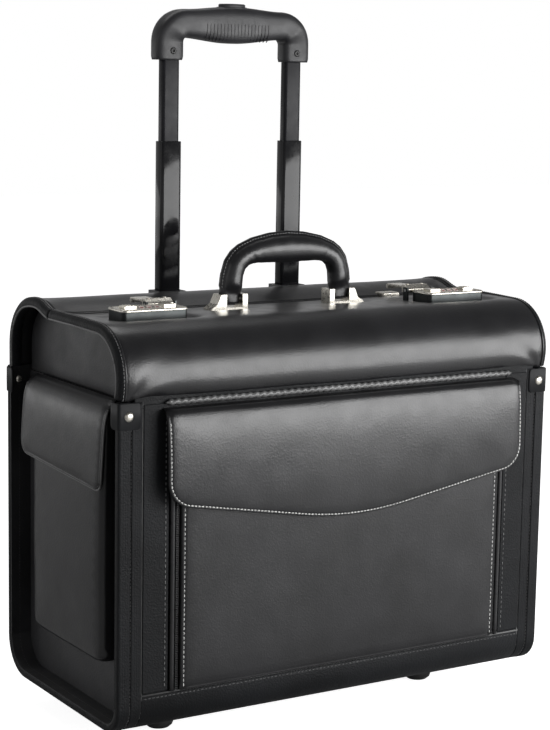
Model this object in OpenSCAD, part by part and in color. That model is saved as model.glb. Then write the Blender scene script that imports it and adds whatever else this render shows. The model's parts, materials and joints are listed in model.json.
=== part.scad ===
// Pilot rolling flight case: board carcass with recessed ends, opening front lid,
// fixed rear hood, front and side pockets, combination locks, carry handle,
// two-stage trolley handle, two wheels and two feet.
// +X is the case's right, -Y its front, +Z up; z = 0 is the floor.

/* [Case] */
// Width of the case over its end rims
case_w = 483; // [470:1:490]
// Depth of the case from front board to back board
case_d = 238; // [236:1:242]
// Height of the case bottom above the floor
ground_gap = 30; // [29:0.5:32]
// Height of the lid hinge above the case bottom
hinge_h = 303; // [300:1:306]
// Thickness of the boards
board_t = 6; // [5:0.5:7]
// Radius of the front bottom corner
front_r = 25; // [20:1:30]
// Radius of the back bottom corner
back_r = 35; // [30:1:36]
// Distance from the rim in to the end board
end_recess = 21; // [18:1:23]
// Width of the rim band on each end of the lid and hood
rim_w = 9.5; // [8:0.5:11]

/* [Lid and hood] */
// Height of the lid's rim above the hinge line
lid_h = 62; // [60:1:64]
// Radius of the lid's front corner
lid_r = 27; // [22:1:32]
// Position of the lid's rear edge, in front of the hood
split_y = 20; // [16:1:22]
// Radius of the hood's round back
hood_r = 50; // [48:0.5:51]
// How far the covered middle stands above the rims
crown = 4; // [3:0.5:5]

/* [Pockets] */
// Width of the front flap
flap_w = 400; // [380:2:404]
// Width of the front pocket between its zips
pocket_w = 360; // [340:2:362]
// Depth, front to back, of the side pockets
side_pocket_d = 150; // [130:2:160]
// How far the side pockets stand out from the end boards
side_pocket_t = 17; // [14:0.5:18]

/* [Trolley] */
// Half the distance between the trolley tubes
tube_x = 72; // [70:0.5:74]
// Front to back centre of the trolley tubes
tube_y = 104.5; // [104:0.1:104.5]
// Height of the middle tubes' tops
middle_top = 557; // [530:1:600]
// Height of the trolley grip's sockets
grip_z = 638; // [620:1:680]
// Outside width of the trolley grip
grip_w = 184; // [180:1:190]

/* [Wheels and feet] */
// Radius of the wheels
wheel_r = 26; // [24:0.5:26]
// Width of the wheels
wheel_w = 22; // [18:1:23]
// Sideways position of the wheels and feet
wheel_x = 154; // [150:1:160]
// Front to back position of the feet
foot_y = -36; // [-60:1:-30]

/* [Locks and handle] */
// Centre of each lock from the middle of the case
lock_x = 173; // [168:1:178]
// Front to back centre of the locks
lock_y = -44; // [-46:1:-42]
// Front to back position of the carry handle
handle_y = -7.5; // [-9:0.5:-6]
// Centre of each handle leg from the middle of the case
leg_x = 62.5; // [60:0.5:65]

/* [Hidden] */
$fn = 64;

half_w = case_w / 2;
front_y = -case_d / 2;
back_y = case_d / 2;
hinge_z = ground_gap + hinge_h;
rim_top = hinge_z + lid_h;
lid_top = rim_top + crown;
seam_z = hinge_z + 5;                 // where the lid's and hood's lower edges start
end_x = half_w - end_recess;          // outer face of the end boards
rim_x = half_w - rim_w;               // inner edge of the lid's rim bands
hood_y = back_y - hood_r;             // centre of the hood's round back
hood_z = hinge_z + 27;
hood_edge_y = split_y + 9;            // front edge of the hood
binding_t = 1.4;
clip_z = hinge_z - 21;
clip_h = 25;
lock_w = 68;
lock_d = 32;
lock_z = lid_top;
lock_h = 10;
plate_t = 1.4;
plate_z = lock_z + lock_h;
dial_r = 5.5;
dial_w = 5;
dial_pitch = 8;
dial_z = plate_z + plate_t + 1.5 - dial_r;
axle_r = 1.2;
hasp_x = 150;
hasp_w = 28;
hasp_y = lock_y + lock_d / 2 + 4;
hasp_z = plate_z + 1;
hasp_pin_r = 1.5;
bracket_z = lid_top;
pin_z = bracket_z + 10;
pin_r = 2.5;
arch_z = 474;                         // top of the carry handle
zip_x = 186;
flap_y = front_y - 9.5;               // back face of the front flap
flap_top = hinge_z - 6;
side_flap_top = hinge_z + 1;
outer_w = 25;
outer_d = 17;
middle_w = 21;
middle_d = 13.2;
inner_w = 17.5;
inner_d = 10;
tube_bottom = 68;
outer_top = 398;
collar_z = hood_z + 1;
wheel_y = 107.5;
cheek_t = 3;
wheel_axle_r = 4;
pin_proud = 0.4;                      // less than the gap inside the outer tubes
shoulder_r = 23;                      // round shoulders of the trolley grip
roll_r = 2.5;                         // rolled top edge of the front flap
side_roll_r = 1.5;                    // rolled top edges of the side flaps

// A flat shape in the YZ plane, carried from x0 to x1
module along_x(x0, x1) {
    translate([x0, 0, 0]) rotate([90, 0, 90]) linear_extrude(x1 - x0) children();
}

// A flat shape in the XZ plane, carried from y0 to y1
module along_y(y0, y1) {
    translate([0, y1, 0]) rotate([90, 0, 0]) linear_extrude(y1 - y0) children();
}

// A box between two corners
module block(low, high) {
    translate(low) cube(high - low);
}

// Copies its children to the other side of the case as well
module both_sides() {
    children();
    mirror([1, 0, 0]) children();
}

// A rectangle with round corners, centred on the origin
module round_rect(w, d, r) {
    square([w - 2 * r, d], center = true);
    square([w, d - 2 * r], center = true);
    for (x = [-1, 1], y = [-1, 1])
        translate([x * (w / 2 - r), y * (d / 2 - r)]) circle(r);
}

// Section of the lower case, shrunk inwards by inset
module case_section(inset) {
    f = front_y + front_r;
    b = back_y - back_r;
    translate([f, ground_gap + inset]) square([b - f, hinge_h]);
    translate([front_y + inset, ground_gap + front_r]) square([front_r, hinge_h]);
    translate([b, ground_gap + back_r]) square([back_r - inset, hinge_h]);
    translate([f, ground_gap + front_r]) circle(front_r - inset);
    translate([b, ground_gap + back_r]) circle(back_r - inset);
}

// Wall of the lower case between two insets, up to height high
module case_wall(outer, inner, high) {
    intersection() {
        difference() {
            case_section(outer);
            case_section(inner);
        }
        translate([-case_d, 0]) square([2 * case_d, high]);
    }
}

// Section of the front lid, shrunk inwards by inset
module lid_section(inset, low) {
    y0 = front_y + inset;
    z1 = rim_top - inset;
    r = lid_r - inset;
    translate([y0, low]) square([split_y - y0, z1 - r - low]);
    translate([y0 + r, low]) square([split_y - y0 - r, z1 - low]);
    translate([y0 + r, z1 - r]) circle(r);
}

// Section of the rear hood above low, shrunk inwards by inset
module hood_section(inset, low) {
    r = hood_r - inset;
    intersection() {
        translate([hood_y, hood_z]) circle(r);
        translate([hood_y - r, low]) square([2 * r, 2 * r]);
    }
    translate([hood_y - r, low]) square([2 * r, hood_z - low]);
}

// Wall of the rear hood between two insets
module hood_wall(outer, inner) {
    intersection() {
        difference() {
            hood_section(outer, seam_z);
            hood_section(inner, seam_z - 1);
        }
        union() {
            translate([hood_edge_y, hood_z + 12]) square([case_d, hood_r]);
            translate([hood_y, seam_z]) square([case_d, hood_r]);
        }
    }
}

// The space that the wheel housings take out of the boards
module wheel_wells() {
    both_sides() block([wheel_x - 17, 78, 0], [wheel_x + 17, 140, 66]);
}

module front_board() {
    color([0.04, 0.04, 0.04])
        block([-half_w, front_y, ground_gap + front_r],
            [half_w, front_y + board_t, hinge_z - 3]);
}

module bottom_board() {
    color([0.05, 0.05, 0.05]) difference() {
        along_x(-half_w, half_w) intersection() {
            case_wall(0, board_t, ground_gap + back_r);
            union() {
                translate([-case_d, 0]) square([case_d, ground_gap + front_r]);
                square([case_d, ground_gap + back_r]);
            }
        }
        wheel_wells();
    }
}

module back_board() {
    color([0.04, 0.04, 0.04]) difference() {
        block([-half_w, back_y - board_t, ground_gap + back_r], [half_w, back_y, seam_z]);
        wheel_wells();
    }
}

// Fixed rear half of the top, with a ledge under the lid's rear edge
module rear_hood() {
    color([0.06, 0.06, 0.06]) difference() {
        union() {
            along_x(-rim_x, rim_x) hood_wall(-2, board_t);
            block([8 - end_x, split_y - 8, hood_z + 21], [end_x - 8, split_y + 12, hood_z + 28]);
        }
        both_sides() block([tube_x - 15.5, tube_y - 11.5, collar_z],
            [tube_x + 15.5, tube_y + 11.5, collar_z + 80]);
    }
}

// Flat end board between the rims of the lower case
module end_board() {
    along_x(end_x - 5, end_x) intersection() {
        case_section(board_t);
        translate([-case_d, 0]) square([2 * case_d, hinge_z]);
    }
}

module left_end_board() {
    color([0.07, 0.07, 0.07]) mirror([1, 0, 0]) end_board();
}

module right_end_board() {
    color([0.07, 0.07, 0.07]) end_board();
}

// Upper part of each end, under the lid and the hood
module end_cap() {
    along_x(end_x - 5, end_x) {
        lid_section(8, hinge_z);
        translate([0, hinge_z]) square([hood_y, hood_z + 8 - hinge_z]);
        hood_section(board_t + 2, hinge_z);
    }
}

module left_end_cap() {
    color([0.16, 0.16, 0.16]) mirror([1, 0, 0]) end_cap();
}

module right_end_cap() {
    color([0.16, 0.16, 0.16]) end_cap();
}

// Sewn bands round the front, bottom and back edges of the lower case
module edge_bindings() {
    color([0.03, 0.03, 0.03]) both_sides() {
        along_x(half_w - 23.5, half_w - 13) case_wall(-1, 0, seam_z - 1);
        along_x(half_w - 11.5, half_w) case_wall(-binding_t, 0, seam_z - 1);
        along_x(half_w, half_w + 1) case_wall(-binding_t, board_t + 1, seam_z - 1);
    }
}

module hood_bindings() {
    color([0.03, 0.03, 0.03]) both_sides() along_x(rim_x, half_w) hood_wall(0, board_t + 2);
}

module bottom_strip() {
    color([0.03, 0.03, 0.03]) along_x(24 - half_w, half_w - 24) intersection() {
        case_wall(-1.2, 0, ground_gap + 35);
        translate([-case_d, 0]) square([case_d - 72, 2 * case_d]);
    }
}

// Piping along the lid's hinge line, and the strip that holds the front flap
module front_welts() {
    color([0.03, 0.03, 0.03]) {
        translate([-196, front_y - 4, hinge_z]) rotate([0, 90, 0]) cylinder(r = 2.5, h = 392);
        block([-196, front_y - 3, hinge_z - 3], [196, front_y, hinge_z + 1]);
        block([-flap_w / 2, front_y - 4, flap_top - 6], [flap_w / 2, front_y, flap_top - 0.5]);
    }
}

// Metal corner clip on the front right, plate on the face and leg round the rim
module corner_clip() {
    face = front_y - binding_t;
    block([half_w - 21.5, face - 1, clip_z], [half_w + 2, face, clip_z + clip_h]);
    block([half_w + 1, face, clip_z], [half_w + 2, face + 17, clip_z + clip_h]);
}

module corner_clips() {
    color([0.55, 0.54, 0.5]) both_sides() {
        corner_clip();
        mirror([0, 1, 0]) corner_clip();
    }
}

module clip_rivets() {
    color([0.8, 0.78, 0.74]) both_sides() for (side = [-1, 1])
        translate([half_w - 8, side * (back_y + binding_t + 1), clip_z + 13])
            rotate([side * -90, 0, 0]) intersection() {
                translate([0, 0, -2.5]) sphere(4.6);
                cylinder(r = 6, h = 3);
            }
}

// Open-topped pocket on an end board
module side_pocket() {
    low = 84;
    high = side_flap_top - 12;
    half = side_pocket_d / 2;
    difference() {
        block([end_x, -half, low], [end_x + side_pocket_t, half, high]);
        block([end_x - 1, 3 - half, low + 3], [end_x + side_pocket_t - 3, half - 3, high + 1]);
    }
}

module left_side_pocket() {
    color([0.07, 0.07, 0.07]) mirror([1, 0, 0]) side_pocket();
}

module right_side_pocket() {
    color([0.07, 0.07, 0.07]) side_pocket();
}

// Front pocket: a shallow open-topped tray on the front board
module front_pocket() {
    low = ground_gap + 36;
    high = flap_top - 11;
    half = pocket_w / 2;
    color([0.06, 0.06, 0.06]) difference() {
        block([-half, front_y - 8, low], [half, front_y, high]);
        block([4 - half, front_y - 6, low + 4], [half - 4, front_y + 1, high + 1]);
    }
}

module zip_chains() {
    color([0.02, 0.02, 0.02]) both_sides()
        block([zip_x - 2.5, front_y - 3, ground_gap + 36], [zip_x + 2.5, front_y, flap_top - 8]);
}

// Panel inside that covers the trolley tubes
module trolley_cover() {
    color([0.1, 0.1, 0.1]) block([-110, 88, 66], [110, 92, 340]);
}

// One rectangular tube standing at the left or right trolley position
module tube(w, d, wall, low, high) {
    translate([tube_x, tube_y, low]) linear_extrude(high - low) difference() {
        round_rect(w, d, 2);
        round_rect(w - 2 * wall, d - 2 * wall, 1.2);
    }
}

module outer_tubes() {
    color([0.1, 0.1, 0.1]) both_sides() tube(outer_w, outer_d, 1.5, tube_bottom, outer_top);
}

module trolley_base() {
    color([0.3, 0.3, 0.3]) block([-92, 94, tube_bottom - 5], [92, 111, tube_bottom]);
}

// Plastic collar where each tube comes up through the hood
module tube_collars() {
    color([0.05, 0.05, 0.05]) both_sides() translate([tube_x, tube_y, 0]) difference() {
        translate([0, 0, collar_z]) linear_extrude(45) square([31, 23], center = true);
        translate([0, 0, collar_z - 1]) linear_extrude(outer_top - collar_z + 1)
            round_rect(outer_w, outer_d, 2);
        translate([0, 0, outer_top - 1]) linear_extrude(20)
            square([middle_w + 1, middle_d + 1], center = true);
    }
}

// Moulded wheel housing: a roof, two cheeks that carry the axle, and a front wall
module wheel_housings() {
    cheek_z = wheel_r - 8;
    color([0.08, 0.08, 0.08]) both_sides() difference() {
        block([wheel_x - 17, 78, cheek_z], [wheel_x + 17, 118, 61]);
        block([wheel_x - 17 + cheek_t, 81, 0], [wheel_x + 17 - cheek_t, 140, 57]);
        translate([wheel_x - 20, wheel_y, wheel_r]) rotate([0, 90, 0])
            cylinder(r = wheel_axle_r, h = 40);
    }
}

module wheel_axles() {
    color([0.7, 0.7, 0.7]) both_sides() translate([wheel_x - 17, wheel_y, wheel_r])
        rotate([0, 90, 0]) cylinder(r = wheel_axle_r, h = 34);
}

// Domed glide feet, held by a screw through the bottom board
module front_feet() {
    color([0.05, 0.05, 0.05]) both_sides() translate([wheel_x, foot_y, 0]) rotate_extrude() {
        square([11, ground_gap]);
        translate([11, 4]) circle(4);
        translate([0, 4]) square([15, ground_gap - 4]);
    }
}

// Plates on the hood's front edge that the hasps reach for
module hasp_catches() {
    color([0.75, 0.74, 0.7]) both_sides() along_x(hasp_x - 11, hasp_x + 11) difference() {
        translate([split_y + 3, lid_top - 8]) square([15, 12]);
        hood_section(-2, seam_z);
    }
}

module front_lid() {
    color([0.06, 0.06, 0.06]) along_x(-rim_x, rim_x) difference() {
        lid_section(-crown, seam_z);
        lid_section(crown, seam_z - 1);
    }
}

module lid_bindings() {
    color([0.03, 0.03, 0.03]) both_sides() along_x(rim_x, half_w) difference() {
        lid_section(0, seam_z);
        lid_section(8, seam_z - 1);
    }
}

// Gunmetal lock case with a trench for the dials, and two lugs for the hasp pin
module lock_bodies() {
    color([0.25, 0.27, 0.27]) both_sides() translate([lock_x, lock_y, lock_z]) difference() {
        linear_extrude(lock_h) round_rect(lock_w, lock_d, 4);
        translate([-13, -7, 1.5]) cube([26, 14, 20]);
    }
    color([0.25, 0.27, 0.27]) both_sides() for (s = [-1, 1])
        translate([hasp_x + s * (hasp_w / 2 + 1.3), hasp_y, 0]) difference() {
            translate([-1, -4, lock_z]) cube([2, 7, hasp_z + 3 - lock_z]);
            translate([-2, 0, hasp_z]) rotate([0, 90, 0]) cylinder(r = hasp_pin_r, h = 4);
        }
}

// Bright plate on the lock, with windows for the dials and a fixed thumb pad
module lock_plates() {
    color([0.85, 0.84, 0.8]) both_sides() translate([lock_x, lock_y, plate_z]) {
        difference() {
            linear_extrude(plate_t) round_rect(lock_w - 1, lock_d - 1, 3.5);
            for (i = [-1, 0, 1])
                translate([i * dial_pitch - dial_w / 2 - 0.4, -6, -1])
                    cube([dial_w + 0.8, 12, 5]);
        }
        translate([-26, -6, plate_t]) cube([12, 12, 2.6]);
    }
}

// Axles of the dials and pins of the hasps
module lock_axles() {
    color([0.7, 0.7, 0.68]) both_sides() {
        translate([lock_x - 13, lock_y, dial_z]) rotate([0, 90, 0]) cylinder(r = axle_r, h = 26);
        translate([hasp_x - hasp_w / 2 - 2.3, hasp_y, hasp_z]) rotate([0, 90, 0])
            cylinder(r = hasp_pin_r, h = hasp_w + 4.6);
    }
}

// One number wheel of a combination lock, with its ten-sided grip notches
module dial(side, index) {
    translate([side * lock_x + index * dial_pitch - dial_w / 2, lock_y, dial_z])
        rotate([0, 90, 0]) difference() {
            cylinder(r = dial_r, h = dial_w);
            translate([0, 0, -1]) cylinder(r = axle_r + 0.05, h = dial_w + 2);
            for (k = [0:9]) rotate([0, 0, 36 * k + 18]) translate([dial_r + 0.35, 0, -1])
                cylinder(r = 0.8, h = dial_w + 2, $fn = 16);
        }
}

module left_dial_1() { color([0.75, 0.7, 0.68]) dial(-1, -1); }
module left_dial_2() { color([0.75, 0.7, 0.68]) dial(-1, 0); }
module left_dial_3() { color([0.75, 0.7, 0.68]) dial(-1, 1); }
module right_dial_1() { color([0.75, 0.7, 0.68]) dial(1, -1); }
module right_dial_2() { color([0.75, 0.7, 0.68]) dial(1, 0); }
module right_dial_3() { color([0.75, 0.7, 0.68]) dial(1, 1); }

// Thumb slide that opens the lock, on its outer end
module lock_slider() {
    translate([lock_x + 21, lock_y, plate_z + plate_t + 0.1]) {
        translate([-6, -6, 0]) cube([12, 12, 2.2]);
        for (k = [-1:1]) translate([k * 3 - 0.6, -5, 2.2]) cube([1.2, 10, 0.7]);
    }
}

module left_lock_slider() {
    color([0.85, 0.84, 0.8]) mirror([1, 0, 0]) lock_slider();
}

module right_lock_slider() {
    color([0.85, 0.84, 0.8]) lock_slider();
}

// Spring hasp: a knuckle on its pin, and a tongue that reaches to the catch
module hasp() {
    translate([hasp_x - hasp_w / 2, hasp_y, hasp_z]) difference() {
        union() {
            rotate([0, 90, 0]) cylinder(r = 3, h = hasp_w);
            translate([0, 0, 0.5]) cube([hasp_w, split_y + 1 - hasp_y, 2.5]);
            translate([4, split_y - 3 - hasp_y, -3]) cube([hasp_w - 8, 4, 4]);
        }
        translate([-1, 0, 0]) rotate([0, 90, 0]) cylinder(r = hasp_pin_r + 0.05, h = hasp_w + 2);
    }
}

module left_hasp() {
    color([0.85, 0.84, 0.8]) mirror([1, 0, 0]) hasp();
}

module right_hasp() {
    color([0.85, 0.84, 0.8]) hasp();
}

// Flared bracket with a window for the handle's leg
module handle_brackets() {
    color([0.85, 0.84, 0.8]) both_sides() difference() {
        along_y(handle_y - 8, handle_y + 8) polygon([
            [leg_x - 14.5, bracket_z], [leg_x + 26, bracket_z], [leg_x + 26, bracket_z + 1.5],
            [leg_x + 19, bracket_z + 6], [leg_x + 15, bracket_z + 15],
            [leg_x - 14.5, bracket_z + 15]]);
        block([leg_x - 9, handle_y - 9, bracket_z + 2.5], [leg_x + 9, handle_y + 9, 500]);
        translate([0, handle_y, pin_z]) rotate([0, 90, 0])
            translate([0, 0, leg_x - 12]) cylinder(r = pin_r, h = 24);
    }
}

module handle_pins() {
    color([0.6, 0.6, 0.58]) both_sides() translate([leg_x - 12, handle_y, pin_z])
        rotate([0, 90, 0]) cylinder(r = pin_r, h = 24);
}

// Carry handle: an arch with two narrow legs that turn on the pins
module handle_grip() {
    leg_w = 15;
    color([0.05, 0.05, 0.05]) difference() {
        union() {
            along_y(handle_y - 10, handle_y + 10) difference() {
                union() {
                    translate([-30, pin_z + 16]) square([60, arch_z - pin_z - 16]);
                    translate([-75, pin_z + 16]) square([150, 5]);
                    for (s = [-1, 1]) intersection() {
                        translate([s * 30, pin_z + 20]) circle(45);
                        translate([-100, pin_z + 16]) square([200, 100]);
                    }
                }
                translate([-34, 0]) square([68, arch_z - 32]);
                translate([-52, 0]) square([104, arch_z - 50]);
                for (s = [-1, 1]) translate([s * 34, arch_z - 50]) circle(18);
            }
            both_sides() {
                block([leg_x - leg_w / 2, handle_y - 5, pin_z],
                    [leg_x + leg_w / 2, handle_y + 5, pin_z + 20]);
                translate([leg_x - leg_w / 2, handle_y, pin_z]) rotate([0, 90, 0])
                    cylinder(r = 5, h = leg_w);
            }
        }
        both_sides() translate([leg_x - 14, handle_y, pin_z]) rotate([0, 90, 0])
            cylinder(r = pin_r + 0.05, h = 28);
    }
}

// Front flap: pointed plate with a rolled top
module front_flap() {
    corner = 25;
    color([0.07, 0.07, 0.07]) {
        along_y(flap_y - 5, flap_y) hull() {
            for (s = [-1, 1]) translate([s * (flap_w / 2 - corner), 263]) circle(corner, $fn = 32);
            translate([0, 245]) circle(30, $fn = 32);
            translate([-flap_w / 2, 300]) square([flap_w, flap_top - 305]);
        }
        along_x(-flap_w / 2, flap_w / 2) polygon([
            [flap_y - 5, flap_top - 5], [flap_y - 5, flap_top - 3], [flap_y - 2, flap_top],
            [flap_y + 2, flap_top], [flap_y + 2, flap_top - 5]]);
        translate([-flap_w / 2, flap_y + 2, flap_top - 3]) rotate([0, 90, 0])
            cylinder(r = roll_r, h = flap_w);
    }
}

// Side pocket flap: bent plate that hangs over the pocket and flares out
module pocket_flap() {
    x = end_x + 1.5;
    top = side_flap_top;
    along_y(-87, 87) polygon([[x, top - 3], [x, top], [x + 10, top], [x + 18, top - 6],
        [x + 24, top - 84], [x + 20.5, top - 84], [x + 17, top - 12], [x + 8, top - 6],
        [x + 4, top - 3]]);
    translate([x + 0.5, -87, top - side_roll_r]) rotate([-90, 0, 0])
        cylinder(r = side_roll_r, h = 174);
}

module left_pocket_flap() {
    color([0.07, 0.07, 0.07]) mirror([1, 0, 0]) pocket_flap();
}

module right_pocket_flap() {
    color([0.07, 0.07, 0.07]) pocket_flap();
}

// Zip slider with its pull hanging below it
module zip_slider() {
    face = front_y - 3.3;
    block([zip_x - 4, face - 3.2, 268], [zip_x + 4, face, 280]);
    block([zip_x - 2.5, face - 4.2, 244], [zip_x + 2.5, face - 3.2, 276]);
}

module left_zip_slider() {
    color([0.3, 0.3, 0.3]) mirror([1, 0, 0]) zip_slider();
}

module right_zip_slider() {
    color([0.3, 0.3, 0.3]) zip_slider();
}

module middle_tubes() {
    color([0.04, 0.04, 0.04]) both_sides() tube(middle_w, middle_d, 1.3, 220, middle_top);
}

// Spring pins that lock the inner tube, near the top of the middle tubes
module lock_pins() {
    color([0.7, 0.7, 0.7]) for (s = [-1, 1])
        translate([s * tube_x - middle_w / 2 - pin_proud, tube_y, middle_top - 29])
            rotate([0, 90, 0]) cylinder(r = 2.6, h = pin_proud);
}

module inner_tubes() {
    color([0.05, 0.05, 0.05]) both_sides() tube(inner_w, inner_d, 1.1, 305, grip_z + 18);
}

// Trolley grip: two sockets and an arched bar with a button well
module trolley_grip() {
    half = grip_w / 2;
    bar_top = grip_z + 54;
    color([0.06, 0.06, 0.06]) difference() {
        along_y(tube_y - 14, tube_y + 14) difference() {
            intersection() {
                union() {
                    translate([-half, grip_z]) square([2 * half, shoulder_r]);
                    translate([shoulder_r - half, grip_z])
                        square([2 * (half - shoulder_r), 60]);
                    for (s = [-1, 1])
                        translate([s * (half - shoulder_r), grip_z + shoulder_r])
                            circle(shoulder_r);
                }
                translate([0, bar_top - 340]) circle(340);
            }
            translate([46 - half, grip_z - 1]) square([2 * half - 92, 19]);
            translate([36 - half, grip_z - 1]) square([2 * half - 72, 9]);
            for (s = [-1, 1]) translate([s * (half - 46), grip_z + 8]) circle(10);
        }
        both_sides() translate([tube_x, tube_y, grip_z - 1]) linear_extrude(19)
            square([inner_w, inner_d], center = true);
        translate([0, tube_y, bar_top - 14]) linear_extrude(20) round_rect(32, 17, 8);
    }
}

module grip_screws() {
    color([0.6, 0.6, 0.6]) for (s = [-1, 1])
        translate([s * tube_x, tube_y - 14, grip_z + 9]) rotate([90, 0, 0])
            cylinder(r = 3, h = 1);
}

module grip_button() {
    color([0.04, 0.04, 0.04]) translate([0, tube_y, grip_z + 47])
        linear_extrude(12) round_rect(31, 16, 7.6);
}

// Wheel centred at its axle: solid tyre on a hub
module tyre(side) {
    translate([side * wheel_x, wheel_y, wheel_r]) rotate([0, 90, 0])
        rotate_extrude($fn = 96) translate([wheel_r - 7, -wheel_w / 2]) difference() {
            square([7, wheel_w]);
            translate([7, 0]) rotate([0, 0, 45]) square(2, center = true);
            translate([7, wheel_w]) rotate([0, 0, 45]) square(2, center = true);
        }
}

module hub(side) {
    translate([side * wheel_x, wheel_y, wheel_r]) rotate([0, 90, 0]) difference() {
        translate([0, 0, -wheel_w / 2]) cylinder(r = wheel_r - 7, h = wheel_w);
        translate([0, 0, -wheel_w]) cylinder(r = wheel_axle_r + 0.05, h = 2 * wheel_w);
        for (k = [0:4], end = [-1, 1]) rotate([0, 0, 72 * k])
            translate([12, 0, end * wheel_w / 2 - 2]) cylinder(r = 3.5, h = 4);
    }
}

module left_tyre() { color([0.1, 0.1, 0.1]) tyre(-1); }
module left_hub() { color([0.35, 0.35, 0.36]) hub(-1); }
module right_tyre() { color([0.1, 0.1, 0.1]) tyre(1); }
module right_hub() { color([0.35, 0.35, 0.36]) hub(1); }

front_board();
bottom_board();
back_board();
rear_hood();
left_end_board();
right_end_board();
left_end_cap();
right_end_cap();
edge_bindings();
hood_bindings();
bottom_strip();
front_welts();
corner_clips();
clip_rivets();
left_side_pocket();
right_side_pocket();
front_pocket();
zip_chains();
trolley_cover();
outer_tubes();
trolley_base();
tube_collars();
wheel_housings();
wheel_axles();
front_feet();
hasp_catches();
front_lid();
lid_bindings();
lock_bodies();
lock_plates();
lock_axles();
handle_brackets();
handle_pins();
left_lock_slider();
right_lock_slider();
left_dial_1();
left_dial_2();
left_dial_3();
right_dial_1();
right_dial_2();
right_dial_3();
left_hasp();
right_hasp();
handle_grip();
front_flap();
left_pocket_flap();
right_pocket_flap();
left_zip_slider();
right_zip_slider();
middle_tubes();
lock_pins();
inner_tubes();
trolley_grip();
grip_screws();
grip_button();
left_tyre();
left_hub();
right_tyre();
right_hub();
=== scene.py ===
"""Pilot rolling flight case: the visual model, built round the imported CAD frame."""
import json
from cmath import phase, rect
from math import (atan, atan2, ceil, copysign, cos, degrees, exp, hypot, pi, radians, sin, sqrt,
                  tan)

import bmesh
import bpy
import numpy as np
from mathutils import Matrix, Vector, geometry, noise


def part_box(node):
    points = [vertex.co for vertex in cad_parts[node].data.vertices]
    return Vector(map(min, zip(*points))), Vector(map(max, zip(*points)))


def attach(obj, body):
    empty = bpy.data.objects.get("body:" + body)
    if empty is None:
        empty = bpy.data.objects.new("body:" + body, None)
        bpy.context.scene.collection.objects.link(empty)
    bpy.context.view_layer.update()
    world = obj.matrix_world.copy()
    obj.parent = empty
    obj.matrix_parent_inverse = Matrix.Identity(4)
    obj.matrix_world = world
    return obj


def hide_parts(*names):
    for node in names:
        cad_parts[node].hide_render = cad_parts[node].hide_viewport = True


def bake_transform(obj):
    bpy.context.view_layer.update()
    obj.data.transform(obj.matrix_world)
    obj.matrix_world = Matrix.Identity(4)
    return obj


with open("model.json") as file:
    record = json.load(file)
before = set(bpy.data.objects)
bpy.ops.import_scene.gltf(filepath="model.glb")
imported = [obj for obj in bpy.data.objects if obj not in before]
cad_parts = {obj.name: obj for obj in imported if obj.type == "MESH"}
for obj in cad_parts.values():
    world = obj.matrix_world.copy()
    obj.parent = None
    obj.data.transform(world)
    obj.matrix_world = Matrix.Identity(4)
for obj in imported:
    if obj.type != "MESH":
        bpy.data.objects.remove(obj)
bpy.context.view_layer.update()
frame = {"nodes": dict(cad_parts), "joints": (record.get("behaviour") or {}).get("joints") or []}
MM = 0.001
scene = bpy.context.scene


def box_mm(node):
    """Lowest and highest corner of a CAD node, in millimetres."""
    low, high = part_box(node)
    return low / MM, high / MM


# ---- driving sizes, from the frame
CASE_LOW, CASE_HIGH = box_mm("bottom_board")
HALF_W = CASE_HIGH.x
FRONT = box_mm("front_board")[0].y
BACK = box_mm("back_board")[1].y
FLOOR_Z = CASE_LOW.z                       # underside of the case
SEAM_Z = box_mm("back_board")[1].z         # lower edges of the lid and hood
HINGE = Vector(frame["joints"][0]["pos_m"]) / MM
RIM_X = box_mm("front_lid")[1].x           # inner edge of the lid's rims
RIM_TOP = box_mm("lid_bindings")[1].z
SPLIT = box_mm("front_lid")[1].y
END_X = box_mm("right_end_board")[1].x
HOOD_BACK = box_mm("hood_bindings")[1].y
HOOD_TOP = box_mm("hood_bindings")[1].z
HOOD_EDGE = box_mm("hood_bindings")[0].y
HOOD_R = 50.0                              # round back of the hood
FRONT_R, BACK_R = 25.0, 35.0               # lower corners of the case
BINDING_W = 23.5                           # an edge binding, over both of its bands
KICK_H = 35.0                              # the kick strip's height on the front
LOCK_W, LOCK_D = 68.0, 32.0                # a lock's plan
SIDES = (-1, 1)
SIDE_NAME = {-1: "left", 1: "right"}


# ---- mesh helpers
def add_mesh(name, verts, faces, smooth=True):
    """A new object from points in millimetres."""
    mesh = bpy.data.meshes.new(name)
    mesh.from_pydata([tuple(c * MM for c in v) for v in verts], [], faces)
    tidy = bmesh.new()
    tidy.from_mesh(mesh)
    bmesh.ops.remove_doubles(tidy, verts=tidy.verts, dist=1e-7)
    bmesh.ops.recalc_face_normals(tidy, faces=tidy.faces)
    tidy.to_mesh(mesh)
    tidy.free()
    for face in mesh.polygons:
        face.use_smooth = smooth
    obj = bpy.data.objects.new(name, mesh)
    scene.collection.objects.link(obj)
    return obj


def loft(name, rings, caps=True):
    """Closed rings with the same number of points, joined in order into one surface."""
    n = len(rings[0])
    verts = [p for ring in rings for p in ring]
    faces = []
    for r in range(len(rings) - 1):
        for k in range(n):
            a, b = r * n + k, r * n + (k + 1) % n
            faces.append((a, b, b + n, a + n))
    if caps:
        faces.append(tuple(range(n)))
        faces.append(tuple((len(rings) - 1) * n + k for k in range(n)))
    return add_mesh(name, verts, faces)


def apply_modifier(obj, modifier):
    bpy.context.view_layer.objects.active = obj
    bpy.ops.object.modifier_apply(modifier=modifier.name)


def bevel(obj, width, segments=3, angle=30):
    """Rounds the sharp edges, and keeps flat faces flat in the shading."""
    m = obj.modifiers.new("edges", "BEVEL")
    m.width = width * MM
    m.segments = segments
    m.limit_method = "ANGLE"
    m.angle_limit = radians(angle)
    m.harden_normals = True
    apply_modifier(obj, m)
    return obj


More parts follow.
